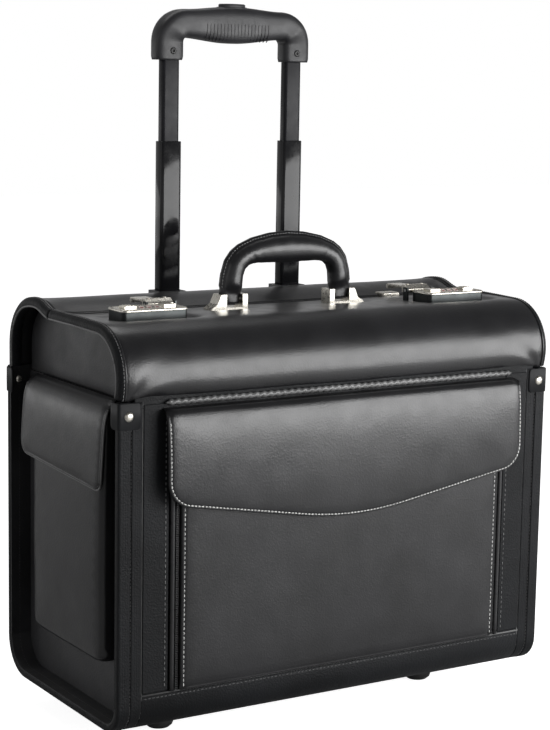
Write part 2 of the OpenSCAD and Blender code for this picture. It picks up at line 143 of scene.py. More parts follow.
def cut(obj, low, high):
    """Cuts a box out of a closed piece."""
    tool = rounded_box("cutter", low, high, 0)
    m = obj.modifiers.new("cut", "BOOLEAN")
    m.operation = "DIFFERENCE"
    m.solver = "EXACT"
    m.object = tool
    apply_modifier(obj, m)
    bpy.data.objects.remove(tool)
    return obj


BOX_FACES = ((0, 1, 3, 2), (4, 6, 7, 5), (0, 4, 5, 1), (2, 3, 7, 6), (0, 2, 6, 4), (1, 5, 7, 3))


def rounded_box(name, low, high, r, segments=3):
    """A box between two corners, in millimetres, with rounded edges."""
    (x0, y0, z0), (x1, y1, z1) = low, high
    verts = [(x, y, z) for x in (x0, x1) for y in (y0, y1) for z in (z0, z1)]
    obj = add_mesh(name, verts, BOX_FACES, smooth=r > 0)
    if r > 0:
        bevel(obj, r, segments)
    return obj


def ordered(a, b):
    """Two corners sorted into lowest and highest."""
    return tuple(map(min, a, b)), tuple(map(max, a, b))


def join(name, parts):
    """Several objects as one piece."""
    bpy.ops.object.select_all(action="DESELECT")
    for part in parts:
        part.select_set(True)
    bpy.context.view_layer.objects.active = parts[0]
    bpy.ops.object.join()
    parts[0].name = name
    parts[0].data.name = name
    return parts[0]


def revolve(name, profile, centre, axis, steps=40):
    """A (radius, height) profile turned about an axis through centre, in millimetres."""
    turn = Vector((0, 0, 1)).rotation_difference(Vector(axis)).to_matrix()
    rings = []
    for radius, height in profile:
        ring = []
        for k in range(steps):
            a = 2 * pi * k / steps
            p = Vector((radius * cos(a), radius * sin(a), height))
            ring.append(turn @ p + Vector(centre))
        rings.append(ring)
    return loft(name, rings)


def fillet_path(corners, radii, step):
    """Points along a line with rounded corners, each with its outward normal, to the left."""
    out, last = [], len(corners) - 1
    corners = [complex(*c) for c in corners]
    ways = [(b - a) / abs(b - a) for a, b in zip(corners, corners[1:])]
    start = corners[0]
    for i in range(1, last + 1):
        way, end, r = ways[i - 1], corners[i], radii[i - 1] if i < last else 0
        if r > 0:
            turn = phase(ways[i] / way)
            end -= way * r * tan(abs(turn) / 2)
        count = max(1, round(abs(end - start) / step))
        out += [(start + (end - start) * k / count, way * 1j) for k in range(count + (i == last))]
        start = end
        if r > 0:
            side = copysign(r, turn)
            centre = end + side * way * 1j
            count = max(3, round(abs(turn) * r / step))
            arc = [way * 1j * rect(1, turn * k / count) for k in range(count + 1)]
            out += [(centre - side * n, n) for n in arc[:-1]]
            start = centre - side * arc[-1]
    return [((p.real, p.imag), (n.real, n.imag)) for p, n in out]


def arc_path(centre, r, a0, a1, step):
    """Points along an arc in degrees, measured from +Y towards +Z, with outward normals."""
    count = max(2, round(abs(radians(a1 - a0)) * r / step))
    out = []
    for k in range(count + 1):
        a = radians(a0 + (a1 - a0) * k / count)
        n = (cos(a), sin(a))
        out.append(((centre[0] + r * n[0], centre[1] + r * n[1]), n))
    return out


def resample(path, count):
    """A path of (point, normal) as count points at equal steps."""
    lengths = [0.0]
    for (a, _), (b, _) in zip(path, path[1:]):
        lengths.append(lengths[-1] + hypot(b[0] - a[0], b[1] - a[1]))
    out, i = [], 0
    for k in range(count):
        s = lengths[-1] * k / (count - 1)
        while i < len(path) - 2 and lengths[i + 1] < s:
            i += 1
        f = (s - lengths[i]) / max(1e-9, lengths[i + 1] - lengths[i])
        p = [path[i][0][c] + (path[i + 1][0][c] - path[i][0][c]) * f for c in (0, 1)]
        n = [path[i][1][c] + (path[i + 1][1][c] - path[i][1][c]) * f for c in (0, 1)]
        size = hypot(*n)
        out.append(((p[0], p[1]), (n[0] / size, n[1] / size)))
    return out


def smooth_path(points, count, rounds=4):
    """A rounded line through points in the YZ plane, with its outward normals, to the left."""
    p = np.array(points, float)
    marks = np.concatenate([[0], np.cumsum(np.hypot(*np.diff(p, axis=0).T))])
    s = np.linspace(0, marks[-1], count)
    line = np.column_stack([np.interp(s, marks, p[:, c]) for c in (0, 1)])
    for _ in range(rounds):
        line[1:-1] = (line[:-2] + 2 * line[1:-1] + line[2:]) / 4
    d = np.gradient(line, axis=0)
    d /= np.hypot(*d.T)[:, None]
    return [(tuple(a), (-b[1], b[0])) for a, b in zip(line.tolist(), d.tolist())]


def band(name, path, section):
    """A closed (x, out) section carried along a path in the YZ plane."""
    rings = [[(x, y + ny * n, z + nz * n) for x, n in section] for (y, z), (ny, nz) in path]
    return loft(name, rings)


def offset(path, x, out):
    """A path in the YZ plane as points at x, moved outward."""
    return [(x, y + ny * out, z + nz * out) for (y, z), (ny, nz) in path]


def seam(path, x, out, face=1, lean=0.0):
    """The same with the direction that the thread faces, for stitches."""
    return [(p, (lean, face * ny, face * nz))
            for p, (_, (ny, nz)) in zip(offset(path, x, out), path)]


def power(value, exponent):
    """A power that keeps the sign, for round shapes between an ellipse and a box."""
    return copysign(abs(value) ** exponent, value)


def rope(name, points, r, sides=10):
    """A round cord along points in millimetres."""
    rings = []
    for i, p in enumerate(points):
        p = Vector(p)
        t = (Vector(points[min(i + 1, len(points) - 1)]) - Vector(points[max(i - 1, 0)]))
        t.normalize()
        up = Vector((0, 0, 1)) if abs(t.z) < 0.9 else Vector((1, 0, 0))
        u = t.cross(up).normalized()
        v = t.cross(u)
        rings.append([p + r * (cos(a) * u + sin(a) * v)
                      for a in (2 * pi * k / sides for k in range(sides))])
    return loft(name, rings)


def stitches(name, runs, pitch, length, r):
    """Sewing thread: a short sunken capsule every pitch along each run of (point, normal)."""
    verts, faces, sides = [], [], 6
    for run in runs:
        points = [(Vector(p), Vector(n)) for p, n in run]
        total, marks = 0.0, [0.0]
        for (a, _), (b, _) in zip(points, points[1:]):
            total += (b - a).length
            marks.append(total)
        count = int(total / pitch)
        i = 0
        for k in range(count):
            s = (k + 0.5) * total / count
            while i < len(points) - 2 and marks[i + 1] < s:
                i += 1
            f = (s - marks[i]) / max(1e-9, marks[i + 1] - marks[i])
            p = points[i][0].lerp(points[i + 1][0], f)
            n = points[i][1].lerp(points[i + 1][1], f).normalized()
            t = (points[i + 1][0] - points[i][0]).normalized()
            w = t.cross(n).normalized()
            base = len(verts)
            for u, size, sink in ((-0.5, 0.45, -0.55), (-0.32, 1, -0.05), (0, 1.08, 0.05),
                                  (0.32, 1, -0.05), (0.5, 0.45, -0.55)):
                c = p + t * (u * length) + n * (sink * r + 0.25 * r)
                for j in range(sides):
                    a = 2 * pi * j / sides
                    verts.append(c + (w * cos(a) + n * sin(a)) * r * size)
            for q in range(4):
                for j in range(sides):
                    a, b = base + q * sides + j, base + q * sides + (j + 1) % sides
                    faces.append((a, b, b + sides, a + sides))
            faces.append(tuple(base + j for j in range(sides)))
            faces.append(tuple(base + 4 * sides + j for j in range(sides)))
    return add_mesh(name, verts, faces)


def smoothstep(a, b, x):
    t = min(1.0, max(0.0, (x - a) / (b - a)))
    return t * t * (3 - 2 * t)


def wave(x, y, z, size, seed=0.0):
    """Smooth noise from -1 to 1, with features of about size millimetres."""
    return noise.noise(Vector((x / size + seed, y / size, z / size)))


def outline_normals(points):
    """Inward normals of a closed outline that runs anticlockwise."""
    out = []
    for i in range(len(points)):
        a, b = points[i - 1], points[(i + 1) % len(points)]
        dx, dy = b[0] - a[0], b[1] - a[1]
        size = hypot(dx, dy)
        out.append((-dy / size, dx / size))
    return out


def edge_distance(points, outline):
    """Distance of each point from a closed outline."""
    p = np.array(points)[:, None, :]
    a = np.array(outline)[None]
    b = np.roll(a, -1, axis=1)
    t = np.clip(((p - a) * (b - a)).sum(2) / ((b - a) ** 2).sum(2), 0, 1)[..., None]
    return np.sqrt((((a + (b - a) * t) - p) ** 2).sum(2)).min(1)


def pad(name, outline, edge, crown, place, back, grid=6.0):
    """A padded panel over a closed outline that runs anticlockwise. edge lists (inset, height)
    across its border, crown(u, v, d) is the further height at a distance d from the border,
    place(u, v, height) gives the point in millimetres, and back is the height of its back."""
    normals = outline_normals(outline)
    flat = list(outline)
    for inset, _ in edge:
        if inset > 0:
            ring = [(p[0] + n[0] * inset, p[1] + n[1] * inset) for p, n in zip(outline, normals)]
            gap = edge_distance(ring, outline)
            flat += [p for p, g in zip(ring, gap) if g > inset * 0.985]
    low = [min(p[c] for p in outline) for c in (0, 1)]
    high = [max(p[c] for p in outline) for c in (0, 1)]
    rows = int((high[1] - low[1]) / (grid * 0.87)) + 1
    columns = int((high[0] - low[0]) / grid) + 1
    inside = [(low[0] + grid * (i + 0.5 * (j % 2)), low[1] + grid * 0.87 * (j + 0.5))
              for j in range(rows) for i in range(columns)]
    gap = edge_distance(inside, outline)
    hit = [point_inside(p, outline) for p in inside]
    flat += [p for p, g, h in zip(inside, gap, hit) if h and g > edge[-1][0] + grid * 0.45]
    out = geometry.delaunay_2d_cdt([Vector(p) for p in flat], [], [list(range(len(outline)))], 1,
                                   1e-4)
    points = [tuple(v) for v in out[0]]
    faces = [tuple(f) for f in out[2]]
    d = edge_distance(points, outline)
    rise = np.interp(d, [e[0] for e in edge], [e[1] for e in edge])
    d[rise == edge[0][1]] = 0
    verts = [place(u, v, h + crown(u, v, gap) * smoothstep(0, edge[-1][0], gap))
             for (u, v), h, gap in zip(points, rise, d)]
    rim = {}
    for i, source in enumerate(out[3]):
        for k in source:
            if k < len(outline):
                rim[k] = i
    base, n = len(verts), len(outline)
    verts += [place(u, v, back) for u, v in outline]
    for k in range(n):
        a, b = rim[k], rim[(k + 1) % n]
        faces.append((b, a, base + k, base + (k + 1) % n))
    faces.append(tuple(base + k for k in range(n))[::-1])
    return add_mesh(name, verts, faces)


def point_inside(p, outline):
    hits = False
    for i, a in enumerate(outline):
        b = outline[(i + 1) % len(outline)]
        if (a[1] > p[1]) != (b[1] > p[1]):
            if p[0] < a[0] + (p[1] - a[1]) * (b[0] - a[0]) / (b[1] - a[1]):
                hits = not hits
    return hits


def round_rect(u0, v0, u1, v1, radii, step):
    """Anticlockwise outline with corner radii, from bottom left."""
    out = []
    corners = [((u0, v0), radii[0], 180), ((u1, v0), radii[1], 270),
               ((u1, v1), radii[2], 0), ((u0, v1), radii[3], 90)]
    for (u, v), r, start in corners:
        cu = u + r if u == u0 else u - r
        cv = v + r if v == v0 else v - r
        count = max(2, round(r * pi / 2 / step))
        for k in range(count + 1):
            a = radians(start + 90 * k / count)
            out.append((cu + r * cos(a), cv + r * sin(a)))
    return densify(out, step)


def densify(points, step):
    """A closed outline with no side longer than step."""
    out = []
    for i, p in enumerate(points):
        q = points[(i + 1) % len(points)]
        count = max(1, ceil(hypot(q[0] - p[0], q[1] - p[1]) / step))
        for k in range(count):
            out.append((p[0] + (q[0] - p[0]) * k / count, p[1] + (q[1] - p[1]) * k / count))
    return out


# ---- materials
class Shader:
    """One node material, with small helpers that add its nodes."""

    def __init__(self, name, color, rough, **sockets):
        self.mat = bpy.data.materials.new(name)
        self.mat.use_nodes = True
        self.tree = self.mat.node_tree
        self.bsdf = self.tree.nodes["Principled BSDF"]
        self.coord = self.tree.nodes.new("ShaderNodeTexCoord").outputs["Object"]
        self.color, self.rough, self.normal = color, rough, None
        self.fill(self.bsdf, Base_Color=(*color, 1), Roughness=rough, **sockets)

    @staticmethod
    def fill(node, **values):
        """Sets a node's sockets, named with _ for a space."""
        for key, value in values.items():
            node.inputs[key.replace("_", " ")].default_value = value
        return node

    def node(self, kind, **values):
        return self.fill(self.tree.nodes.new(f"ShaderNode{kind}"), **values)

    def link(self, a, b):
        self.tree.links.new(a, b)

    def noise(self, scale, detail=4.0, rough=0.55, stretch=None):
        n = self.node("TexNoise", Scale=scale, Detail=detail, Roughness=rough)
        where = self.coord
        if stretch is not None:
            mapping = self.node("Mapping", Scale=stretch)
            self.link(where, mapping.inputs["Vector"])
            where = mapping.outputs["Vector"]
        self.link(where, n.inputs["Vector"])
        return n.outputs["Fac"]

    def cells(self, scale):
        n = self.node("TexVoronoi", Scale=scale, Randomness=1.0)
        n.feature = "SMOOTH_F1"
        self.link(self.coord, n.inputs["Vector"])
        return n.outputs["Distance"]

    def ramp(self, fac, a, b, low=0.35, high=0.65):
        m = self.node("MapRange", From_Min=low, From_Max=high, To_Min=a, To_Max=b)
        self.link(fac, m.inputs["Value"])
        return m.outputs["Result"]

    def vary_rough(self, fac, spread):
        self.link(self.ramp(fac, self.rough - spread, self.rough + spread),
                  self.bsdf.inputs["Roughness"])

    def vary_color(self, fac, dark, light):
        mix = self.node("Mix")
        mix.data_type = "RGBA"
        for socket, share in ((6, dark), (7, light)):
            mix.inputs[socket].default_value = (*[min(1, c * share) for c in self.color], 1)
        self.link(self.ramp(fac, 0, 1), mix.inputs[0])
        self.link(mix.outputs[2], self.bsdf.inputs["Base Color"])

    def bump(self, height, depth_mm, strength=1.0):
        b = self.node("Bump", Strength=strength, Distance=depth_mm * MM)
        self.link(height, b.inputs["Height"])
        if self.normal is not None:
            self.link(self.normal, b.inputs["Normal"])
        self.normal = b.outputs["Normal"]
        self.link(self.normal, self.bsdf.inputs["Normal"])


def leather(name, color, rough, grain=0.12, waviness=0.5, coat=0.25, spec=0.4):
    """Coated leather: soft waves, fine pebble grain and pores, patchy sheen."""
    s = Shader(name, color, rough, Coat_Weight=coat, Coat_Roughness=0.28,
               Specular_IOR_Level=spec)
    s.vary_color(s.noise(14, 5), 0.7, 1.35)
    s.vary_rough(s.noise(45, 6), 0.05)
    s.bump(s.noise(22, 2), waviness)
    s.bump(s.cells(620), grain)
    s.bump(s.noise(1500, 3, 0.6), grain * 0.5, 0.5)
    return s.mat


def metal(name, color, rough, brush=(1, 1, 1)):
    """Plated or brushed metal with fine scratches and worn patches."""
    s = Shader(name, color, rough, Metallic=1.0)
    s.vary_color(s.noise(60, 4), 0.82, 1.08)
    s.vary_rough(s.noise(320, 5, 0.7, stretch=brush), 0.08)
    s.bump(s.noise(900, 4, 0.6, stretch=brush), 0.02, 0.6)
    return s.mat


def plastic(name, color, rough, texture, scale=900, spec=0.5):
    """Moulded plastic with a spark-eroded texture."""
    s = Shader(name, color, rough, Specular_IOR_Level=spec)
    s.vary_color(s.noise(30, 5), 0.8, 1.25)
    s.vary_rough(s.noise(90, 4), 0.05)
    s.bump(s.noise(scale, 3), texture, 0.8)
    return s.mat


def woven(name, color, rough, thread=0.55):
    """Plain woven cloth: crossed threads, with fuzz between them."""
    s = Shader(name, color, rough, Sheen_Weight=0.25, Sheen_Roughness=0.5)
    total = None
    for axis in "XYZ":
        w = s.node("TexWave", Scale=pi / (thread * MM) / 20, Distortion=0.6)
        w.bands_direction = axis
        s.link(s.coord, w.inputs["Vector"])
        add = s.node("Math")
        add.operation = "ADD"
        s.link(w.outputs["Fac"], add.inputs[0])
        if total is not None:
            s.link(total, add.inputs[1])
        total = add.outputs[0]
    s.vary_color(s.noise(25, 4), 0.75, 1.3)
    s.bump(total, 0.12)
    s.bump(s.noise(2200, 3), 0.08, 0.6)
    return s.mat


MATERIALS = {
    "leather": leather("leather_black", (0.0085, 0.0085, 0.0095), 0.33),
    "leather_soft": leather("leather_soft", (0.008, 0.008, 0.009), 0.34, 0.10, 0.1, 0.3),
    "leather_flat": leather("leather_board", (0.009, 0.009, 0.010), 0.42, waviness=0.3),
    "leather_trim": leather("leather_trim", (0.0065, 0.007, 0.008), 0.55, 0.3, 0.1, 0.0, 0.17),
    # End leather with a lighter base than the black leather: painted light, for the brighter light
    # that the case's ends catch.
    "end_panel": leather("leather_end_painted_light", (0.030, 0.030, 0.032), 0.5, 0.14, 0.2, 0.05),
    "base_board": plastic("base_sheet", (0.016, 0.016, 0.017), 0.62, 0.15, 500),
    "lining": woven("lining_cloth", (0.045, 0.046, 0.052), 0.85),
    "nickel": metal("nickel_plate", (0.70, 0.67, 0.60), 0.3),
    "clip_paint": plastic("clip_enamel", (0.012, 0.0125, 0.0135), 0.42, 0.02, 500, 0.1),
    "screw_black": plastic("screw_black", (0.010, 0.010, 0.010), 0.4, 0.02),
    "gunmetal": metal("gunmetal", (0.050, 0.054, 0.054), 0.36, (1, 1, 8)),
    "steel": metal("brushed_steel", (0.58, 0.58, 0.57), 0.3, (1, 1, 6)),
    "dial_plastic": plastic("dial_wheel", (0.52, 0.47, 0.44), 0.35, 0.02),
    "dial_mark": plastic("dial_mark", (0.22, 0.045, 0.035), 0.45, 0.01),
    "zip_teeth": plastic("zip_coil", (0.012, 0.012, 0.013), 0.4, 0.02),
    "zip_metal": metal("zip_enamel", (0.06, 0.06, 0.06), 0.35),
    "tube_paint": plastic("tube_gloss", (0.008, 0.008, 0.009), 0.12, 0.003, 300, 0.26),
    "tube_satin": plastic("tube_satin", (0.010, 0.010, 0.012), 0.3, 0.01, 300, 0.13),
    "black_plastic": plastic("moulded_black", (0.020, 0.020, 0.022), 0.42, 0.06, spec=0.38),
    "foot_rubber": plastic("foot_rubber", (0.012, 0.012, 0.012), 0.55, 0.08),
    "tyre_rubber": plastic("tyre_rubber", (0.016, 0.016, 0.016), 0.68, 0.12, 600),
    "hub_plastic": plastic("hub_plastic", (0.09, 0.09, 0.095), 0.4, 0.05),
    "thread": woven("thread_grey", (0.62, 0.62, 0.60), 0.7, 0.25),
    "thread_mid": woven("thread_mid", (0.16, 0.16, 0.16), 0.7, 0.25),
    "thread_dark": woven("thread_dark", (0.05, 0.05, 0.052), 0.7, 0.25),
    "piping": leather("leather_piping", (0.011, 0.011, 0.012), 0.30, 0.05, 0.05, 0.4),
    # Pale grey leather for cords along edges and piping: a painted highlight standing for the shine of
    # the black leather's edges.
    "piping_painted_highlight": leather("leather_edge_painted_highlight", (0.12, 0.12, 0.12), 0.38, 0.05, 0.05, 0.2),
}


def dress(obj, material, body, replaces=()):
    """Gives a piece its material and slot, and makes it ride on its body, if it has one."""
    obj.data.materials.clear()
    obj.data.materials.append(MATERIALS[material])
    if body:
        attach(obj, body)
    if replaces:
        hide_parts(*replaces)
    return obj


def soft(obj, material, body, node):
    """A padded piece that takes the place of one CAD node."""
    dress(obj, material, body, [node])


def trim(name, low, high, r):
    """A strip of trim leather on the case, between two corners."""
    dress(rounded_box(name, low, high, r), "leather_trim", "case")


def sew(name, runs, material, body, pitch, length, r):
    """Rows of stitches as one piece."""
    dress(stitches(name, runs, pitch, length, r), material, body)


def cord(name, points, material, body, r, sides=10):
    """A round cord as one piece."""
    dress(rope(name, points, r, sides), material, body)


def bridge(name, low, high, bodies, points, r=0.7, rows=0):
    """A strip of leather laid across a joint, between two points in millimetres."""
    strip = rounded_box(name, low, high, r)
    if rows:
        cuts = strip.modifiers.new("rows", "SUBSURF")
        cuts.subdivision_type = "SIMPLE"
        cuts.levels = cuts.render_levels = rows
        apply_modifier(strip, cuts)
    dress(strip, "leather_trim", None)
    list(bodies)
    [tuple(c * MM for c in p) for p in points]
    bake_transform(strip)


def puffed(d, rise, reach):
    """A crown that rises with the distance from the border."""
    return rise * (1 - exp(-d / reach))


# ---- carcass
def case_path(step):
    """The outside of the lower case, from the back's top edge, underneath, to the front's."""
    return fillet_path([(BACK, SEAM_Z), (BACK, FLOOR_Z), (FRONT, FLOOR_Z), (FRONT, SEAM_Z - 1)],
                       [BACK_R, FRONT_R], step)


def ribbed(x0, x1, height, ribs=5, depth=0.07):
    """A flat band's section with lengthwise ribs and round edges."""
    top = []
    count = ribs * 6
    for k in range(count + 1):
        f = k / count
        edge = min(1.0, min(f, 1 - f) * (x1 - x0) / 1.2)
        rise = height * sqrt(max(0.0, 1 - (1 - edge) ** 2))
        groove = depth * (0.5 - 0.5 * cos(f * ribs * 2 * pi)) * edge
        top.append((x0 + (x1 - x0) * f, rise - groove))
    return [(x1, -1.0), (x0, -1.0)] + top


def edge_bindings():
    """Two ribbed bands round each end of the case, a rim over the board's edge and its seam."""
    path = case_path(6)
    rim = ((-1.0, 1.7), (-0.3, 1.5), (0.2, 0.8), (0.4, -0.8), (0.4, -3.6), (0.0, -4.8),
           (-1.2, -5.3), (-20.4, -5.2), (-20.4, -4.4), (-1.6, -4.2))
    sections = [ribbed(HALF_W - BINDING_W, HALF_W - 12.6, 1.6),
                ribbed(HALF_W - 11.8, HALF_W - 0.2, 2.0),
                [(HALF_W + x, n) for x, n in rim]]
    for side in SIDES:
        name = SIDE_NAME[side]
        parts = [band("band", path, [(side * x, n) for x, n in section]) for section in sections]
        dress(join(f"binding_{name}", parts), "leather_trim", "case",
              ["edge_bindings"] if side > 0 else ())
        # Pale cord along the binding's inner edge: a painted highlight.
        cord(f"binding_edge_{name}", offset(path, side * (HALF_W - BINDING_W - 0.4), 0.7),
             "piping_painted_highlight", "case", 0.55, 8)
        runs = [seam(path, side * (HALF_W - 12.2), 0.9), seam(path, side * (HALF_W - 9.0), -5.7, -1)]
        sew(f"binding_thread_{name}", runs, "thread_dark", "case", 3.4, 2.4, 0.32)


def kick_strip():
    """Leather strip over the front bottom corner, with its sewn top edge and a pale cord along it, a
    painted highlight on the turned edge.
    """
    top = FLOOR_Z + KICK_H
    half = HALF_W - BINDING_W - 0.1
    corner = fillet_path([(-70, FLOOR_Z), (FRONT, FLOOR_Z), (FRONT, top)], [FRONT_R], 4)
    rings = []
    for (y, z), (ny, nz) in corner:
        out = 1.0 + 0.6 * (smoothstep(0, 5, top - z) if nz > -0.5 else 1.0)
        section = ((-half, -0.5), (-half, out * 0.7), (-half + 0.8, out), (half - 0.8, out),
                   (half, out * 0.7), (half, -0.5))
        rings.append([(x, y + ny * n, z + nz * n) for x, n in section])
    dress(loft("kick_strip", rings), "leather_trim", "case", ["bottom_strip"])
    lip = [(half * k / 2, FRONT - 1.5, top + 0.2) for k in range(-2, 3)]
    # The pale lip cord is a painted highlight along the strip's top edge.
    cord("kick_strip_edge", lip, "piping_painted_highlight", "case", 0.8)
    run = [((x, FRONT - 1.6, top - 3.2), (0, -1, 0)) for x in (-half + 2, half - 2)]
    sew("kick_strip_thread", [run], "thread_dark", "case", 4.2, 2.8, 0.36)


def hinge_piping():
    """Twisted piping along the hinge, with the turned strip and groove under it."""
    low, high = box_mm("front_welts")
    half, rows, sides = 196.0, 521, 12
    twist, lay_pitch = 0.16, 7.5
    rings = []
    for i in range(rows):
        x = -half + 2 * half * i / (rows - 1)
        r = 0.8 + 1.7 * smoothstep(0, 5, half - abs(x))
        droop = -0.25 * wave(x, 0, 0, 55)
        ring = []
        for k in range(sides):
            a = 2 * pi * k / sides
            lay = r * (1 + twist * cos(2 * a + 2 * pi * x / lay_pitch))
            ring.append((x, HINGE.y + 0.2 + lay * cos(a), HINGE.z + 2.0 + droop + lay * sin(a)))
        rings.append(ring)
    # The piping's pale grey is a painted highlight on the twisted cord.
    dress(loft("hinge_piping", rings), "piping_painted_highlight", "case", ["front_welts"])
    trim("hinge_strip", (-half, FRONT - 1.6, low.z - 1), (half, FRONT + 1, HINGE.z + 1.5), 0.6)
    trim("flap_strip", (low.x + 4, FRONT - 3.6, low.z + 0.5),
         (high.x - 4, FRONT + 0.5, low.z + 4.5), 1.2)


def corner_clips():
    """A bent plate on each upper corner of the case, with a rivet, and two small screws."""
    low, high = box_mm("corner_clips")
    mid, half_h = (low.z + high.z) / 2, (high.z - low.z) / 2 - 0.4
    leg, bend, corner, steps = 13.0, 1.5, 3.5, 46
    dome = [(4.6, -0.4), (4.6, 0.2), (4.2, 0.9), (3.2, 1.6), (1.8, 2.0), (0.5, 2.15), (0.02, 2.16)]
    inner_dome = [(r * 0.8, h * 0.8) for r, h in dome]
    small = [(2.1, -0.4), (2.0, 0.5), (1.3, 1.1), (0.02, 1.3)]
    parts, rivets = [], []
    for sx in SIDES:
        for sy in SIDES:
            face_y = sy * (abs(FRONT) + 1.9)
            path = [((sx * (HALF_W - 21 + 4 * k), face_y), (0, sy)) for k in range(6)]
            for a in (radians(15 * k) for k in range(7)):
                path.append(((sx * (HALF_W - 0.9 + bend * sin(a)), face_y - sy * bend * (1 - cos(a))),
                             (sx * sin(a), sy * cos(a))))
            path += [((sx * (HALF_W + 0.6), face_y - sy * (bend + leg * k / 4)), (sx, 0))
                     for k in range(1, 5)]
            total = sum(hypot(b[0][0] - a[0][0], b[0][1] - a[0][1]) for a, b in zip(path, path[1:]))
            rings = []
            for k, ((x, y), (nx, ny)) in enumerate(resample(path, steps)):
                s = total * k / (steps - 1)
                d = max(0.0, corner - min(s, total - s))
                h = half_h - corner + sqrt(max(0.0, corner ** 2 - d ** 2))
                rings.append([(x + nx * n, y + ny * n, mid + dz) for dz, n in
                              ((-h, -0.3), (-h, 0.45), (-h + 0.5, 0.8), (0, 0.9), (h - 0.5, 0.8),
                               (h, 0.45), (h, -0.3))])
            parts.append(loft("clip", rings))
            inside = (sx * (HALF_W - 9), sy * (abs(FRONT) - 5.3), mid)
            rivets.append(revolve("inner_rivet", inner_dome, inside, (0, -sy, 0), 24))
            where = (sx * (HALF_W - 9), face_y + sy * 0.8, mid)
            rivets.append(revolve("rivet", dome, where, (0, sy, 0)))
            if sy < 0:
                rivets.append(revolve("screw", small, (sx * (HALF_W - 28), FRONT - 0.4, mid - 4),
                                      (0, sy, 0), 24))
    dress(join("corner_clip_plates", parts), "clip_paint", "case", ["corner_clips"])
    dress(join("clip_rivet_heads", rivets), "nickel", "case", ["clip_rivets"])


def front_facings():
    """Leather strips and cords beside the zips, each strip with a row of stitches, and the teeth."""
    zip_low, zip_high = box_mm("zip_chains")
    slider_low, slider_high = box_mm("right_zip_slider")
    zip_x = (slider_low.x + slider_high.x) / 2
    low_z, high_z = FLOOR_Z + KICK_H + 2.5, HINGE.z + 1
    tooth_pitch = 1.7
    for side in SIDES:
        name = SIDE_NAME[side]
        corners = ordered((side * (zip_x + 5), FRONT - 2.4, low_z),
                          (side * (HALF_W - BINDING_W - 0.7), FRONT + 1, high_z))
        trim(f"zip_facing_{name}", *corners, 0.9)
        run = [((side * (zip_x + 8.6), FRONT - 2.5, z), (0, -1, 0)) for z in (low_z + 3, high_z - 5)]
        sew(f"zip_facing_thread_{name}", [run], "thread_mid", "case", 5.0, 2.9, 0.42)
        line = [(side * (zip_x + 1.2), FRONT - 2.2, zip_low.z + (zip_high.z - zip_low.z) * k / 20)
                for k in range(21)]
        cord(f"zip_cord_{name}", line, "piping", "case", 2.5, 14)
        x, z = side * (zip_x - 3.6), zip_low.z + 1
        verts, faces = [], []
        while z < zip_high.z - 1:
            faces += [tuple(len(verts) + i for i in f) for f in BOX_FACES]
            verts += [(x + dx, FRONT + dy, z + dz)
                      for dx in (-1.5, 1.5) for dy in (-3.1, 0) for dz in (-0.5, 0.5)]
            z += tooth_pitch
        dress(add_mesh(f"zip_teeth_{name}", verts, faces, False), "zip_teeth", "case",
              ["zip_chains"] if side > 0 else ())


def front_pocket():
    """The pocket's padded front panel between the zips, with a row of stitches down each side."""
    low, high = box_mm("front_pocket")
    outline = round_rect(low.x, low.z, high.x, high.z, (1.5, 1.5, 3, 3), 6)

    def crown(u, v, d):
        return puffed(d, 1.9, 16) + 0.7 * wave(u, 0, v, 120, 3) + 0.25 * wave(u, 5, v, 40, 9)

    def place(u, v, h):
        return (u, FRONT - h, v)

    edge = [(0.0, 4.8), (0.4, 6.2), (1.2, 6.9), (2.2, 7.0), (3.0, 6.7), (3.9, 7.1), (6.0, 7.4)]
    panel = pad("front_pocket_panel", outline, edge, crown, place, 0.5, 9)
    soft(panel, "leather", "case", "front_pocket")
    runs = [[((side * (high.x - 3.0), FRONT - 6.8, z), (0, -1, 0))
             for z in (low.z + 3, high.z - 3)] for side in SIDES]
    sew("front_pocket_thread", runs, "thread", "case", 4.4, 3.0, 0.5)


def flap_outline(low, high):
    """The front flap's outline: a shallow V with a rounded point and round lower corners."""
    r, corner, reach = 25.0, low.z + 49.5, 60.0
    slope = atan(0.172)
    outline = []
    for k in range(15):
        x = reach * (-1 + 2 * k / 14)
        outline.append((x, low.z - 0.5 + x * x / (2 * reach) * tan(slope)))
    tilt = degrees(slope)
    for side, start, end in ((1, 270 + tilt, 360), (-1, 180, 270 - tilt)):
        if side < 0:
            outline += [(high.x, high.z + 1), (high.x - 2, high.z + 3), (low.x + 2, high.z + 3),
                        (low.x, high.z + 1)]
        for k in range(9):
            a = radians(start + (end - start) * k / 8)
            outline.append((side * (high.x - r) + r * cos(a), corner + r * sin(a)))
    return densify(outline, 5)


